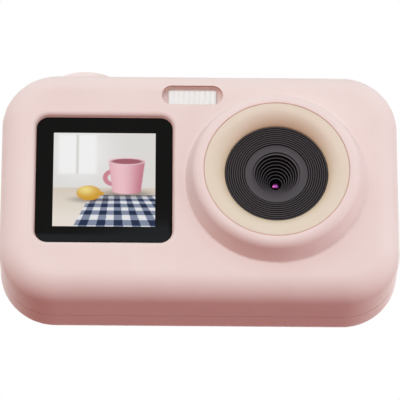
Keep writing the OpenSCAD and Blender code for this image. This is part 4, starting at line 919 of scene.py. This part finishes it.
# %% The bar and its frame
POCKET_T, BAR_FLANGE_T, BAR_CORNER, FRAME_W, FRAME_FOOT = 1.9, 0.8, 0.2, 0.15, 2.5
bar = bmesh.new()
flange_y = high.y - BAR_FLANGE_T
for half_w, half_h, y0, y1 in ((BAR_W / 2, bar_h / 2, low.y + RISE, flange_y),
                               ((high.x - low.x) / 2, (high.z - low.z) / 2, flange_y, high.y)):
    outline = rounded_square(half_w, half_h, BAR_CORNER, steps=4)
    plate(bar, [(flash_x + px, flash_z + pz) for px, pz in outline], y1, y1 - y0)
flash_bar = finished("flash_bar", kept("flash_bar", bar, milky_pc))
worn_by(flash_bar, "case", "diffuser_plastic", "flash_diffuser")
# The frame that fills the gap round the bar has the case's own finish.
bead("flash_bead", (flash_x, flash_z), (BAR_W / 2, bar_h / 2, BAR_CORNER), FRAME_W,
     FRONT + POCKET_T, FRONT + FRAME_FOOT, blush_abs)

# %% Lining and lip of the flash pocket, with painted light and painted shade
# Painted light: blush ABS paler than the case, for the light thrown about inside the pocket.
pocket_painted_light = grained("blush_abs_painted_light", "#F6DDD4", "#F9E4DC", 0.4, 0.1, (0.5, 0.6))
# Painted shade: a dark rose line round the pocket's mouth, where its top wall falls into shade.
mouth_painted_shade = grained("rose_painted_shade_line", "#B9776E", "#C08078", 0.3, 0.1, (0.5, 0.65))
POCKET_W, POCKET_H, POCKET_RISE = 14.1, 4.9, 0.35
LINING, LIP_TOP, LIP_FOOT, END_FLAT = 0.06, 0.05, 0.5, 0.01
pocket_at = (flash_x, flash_z + POCKET_RISE)
pocket = (POCKET_W / 2 - LINING, POCKET_H / 2 - LINING, POCKET_H / 2 - LINING - END_FLAT)
# The lining carries the painted light.
bead("flash_lining", pocket_at, pocket, LINING, FRONT + LIP_FOOT, FRONT + POCKET_T, pocket_painted_light)
# The lip is the thin line of painted shade at the pocket's mouth.
bead("flash_lip", pocket_at, pocket, LINING, FRONT + LIP_TOP, FRONT + LIP_FOOT, mouth_painted_shade)

# %% [markdown]
# ## Case screws
# Four cross-recess screws hold the halves together, sunk in the back. One is made properly, with a
# domed head and a tapered cross, and a Geometry Nodes grid sets it in the four corners.

# %% Shank and head of one screw
low, high = [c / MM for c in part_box("case_screws")]
HEAD_R, HEAD_T, HEAD_ROUND, SHANK_R, TIP_R, TAPER, TURN = 1.8, 1.2, 0.5, 0.95, 0.25, 1.2, 48
tip, head_top = low.y, high.y
profile = [(TIP_R, tip), (SHANK_R, tip + TAPER), (SHANK_R, head_top - HEAD_T), (HEAD_R, head_top - HEAD_T)]
profile += arc((HEAD_R - HEAD_ROUND, head_top - HEAD_ROUND), HEAD_ROUND, 0, 90, steps=6)
screw = bmesh.new()
around = [math.tau * k / TURN for k in range(TURN)]
rings = [[screw.verts.new(Vector((r * math.cos(t), y, r * math.sin(t))) * MM) for t in around]
         for r, y in profile]
for lower, upper in zip(rings, rings[1:]):
    for i in range(TURN):
        screw.faces.new((lower[i - 1], lower[i], upper[i], upper[i - 1]))
screw.faces.new(rings[0])

# %% Its cross recess
ARM, HALF, CROSS_T, CROSS_TAPER = 1.0, 0.24, 0.75, 0.75
cross = [(HALF, HALF), (HALF, ARM), (-HALF, ARM), (-HALF, HALF), (-ARM, HALF), (-ARM, -HALF), (-HALF, -HALF),
         (-HALF, -ARM), (HALF, -ARM), (HALF, -HALF), (ARM, -HALF), (ARM, HALF)]
mouth = [screw.verts.new(Vector((x, head_top, z)) * MM) for x, z in cross]
cross_floor = [screw.verts.new(Vector((CROSS_TAPER * x, head_top - CROSS_T, CROSS_TAPER * z)) * MM)
               for x, z in cross]
brink = [screw.edges.new((mouth[i - 1], mouth[i])) for i in range(len(mouth))]
brink += [screw.edges.get((rings[-1][i - 1], rings[-1][i])) for i in range(TURN)]
bmesh.ops.triangle_fill(screw, edges=brink, use_beauty=True)
for i in range(len(mouth)):
    screw.faces.new((mouth[i - 1], mouth[i], cross_floor[i], cross_floor[i - 1]))
screw.faces.new(cross_floor)
one_screw = kept("one_screw", screw)
print("faces of one screw:", len(one_screw.polygons))

# %% Four of them on a grid
corners_tree, given = started("screws_in_corners",
                              {"Screw": "Geometry", "Apart X": "Float", "Apart Z": "Float",
                               "Middle": "Vector", "Finish": "Material"}, "Screws")
flat = add(corners_tree, "GeometryNodeMeshGrid", {"Size X": given["Apart X"], "Size Y": given["Apart Z"],
                                                 "Vertices X": 2, "Vertices Y": 2}).outputs["Mesh"]
upright = add(corners_tree, "GeometryNodeTransform",
              {"Geometry": flat, "Translation": given["Middle"], "Rotation": (math.pi / 2, 0, 0)}).outputs[0]
copies = add(corners_tree, "GeometryNodeInstanceOnPoints", {"Points": upright, "Instance": given["Screw"]})
ended(corners_tree, copies.outputs[0], given["Finish"], "Screws")
middle = Vector(((low.x + high.x) / 2, 0, (low.z + high.z) / 2))
screws = grown("case_screws_crossed", one_screw, corners_tree,
               {"Apart X": (high.x - low.x - 2 * HEAD_R) * MM, "Apart Z": (high.z - low.z - 2 * HEAD_R) * MM,
                "Middle": middle * MM, "Finish": zinc_steel}, sharp=30)
worn_by(screws, "case", "steel", "case_screws")

# %% [markdown]
# ## Port cover
# The little door over the sockets is a moulding with eased edges. Its shape is right in the CAD
# already, so a merged copy gets a small bevel, which is what makes its outline catch the light.

# %% Port cover
EASE = 0.2
mesh = solids["port_cover"].data.copy()
if "custom_normal" in mesh.attributes:
    mesh.attributes.remove(mesh.attributes["custom_normal"])
door = bmesh.new()
door.from_mesh(mesh)
bmesh.ops.remove_doubles(door, verts=door.verts, dist=WELD)
bmesh.ops.dissolve_limit(door, angle_limit=math.radians(1), verts=door.verts, edges=door.edges)
door.to_mesh(mesh)
door.free()
worker = placed("port_cover_work", mesh)
ease = worker.modifiers.new("ease", "BEVEL")
ease.width = EASE * MM
ease.segments = 3
ease.limit_method = "ANGLE"
ease.angle_limit = math.radians(50)
worn_by(finished("port_cover_eased", plain_mesh(worker)), "cover", "pink_plastic", "port_cover")
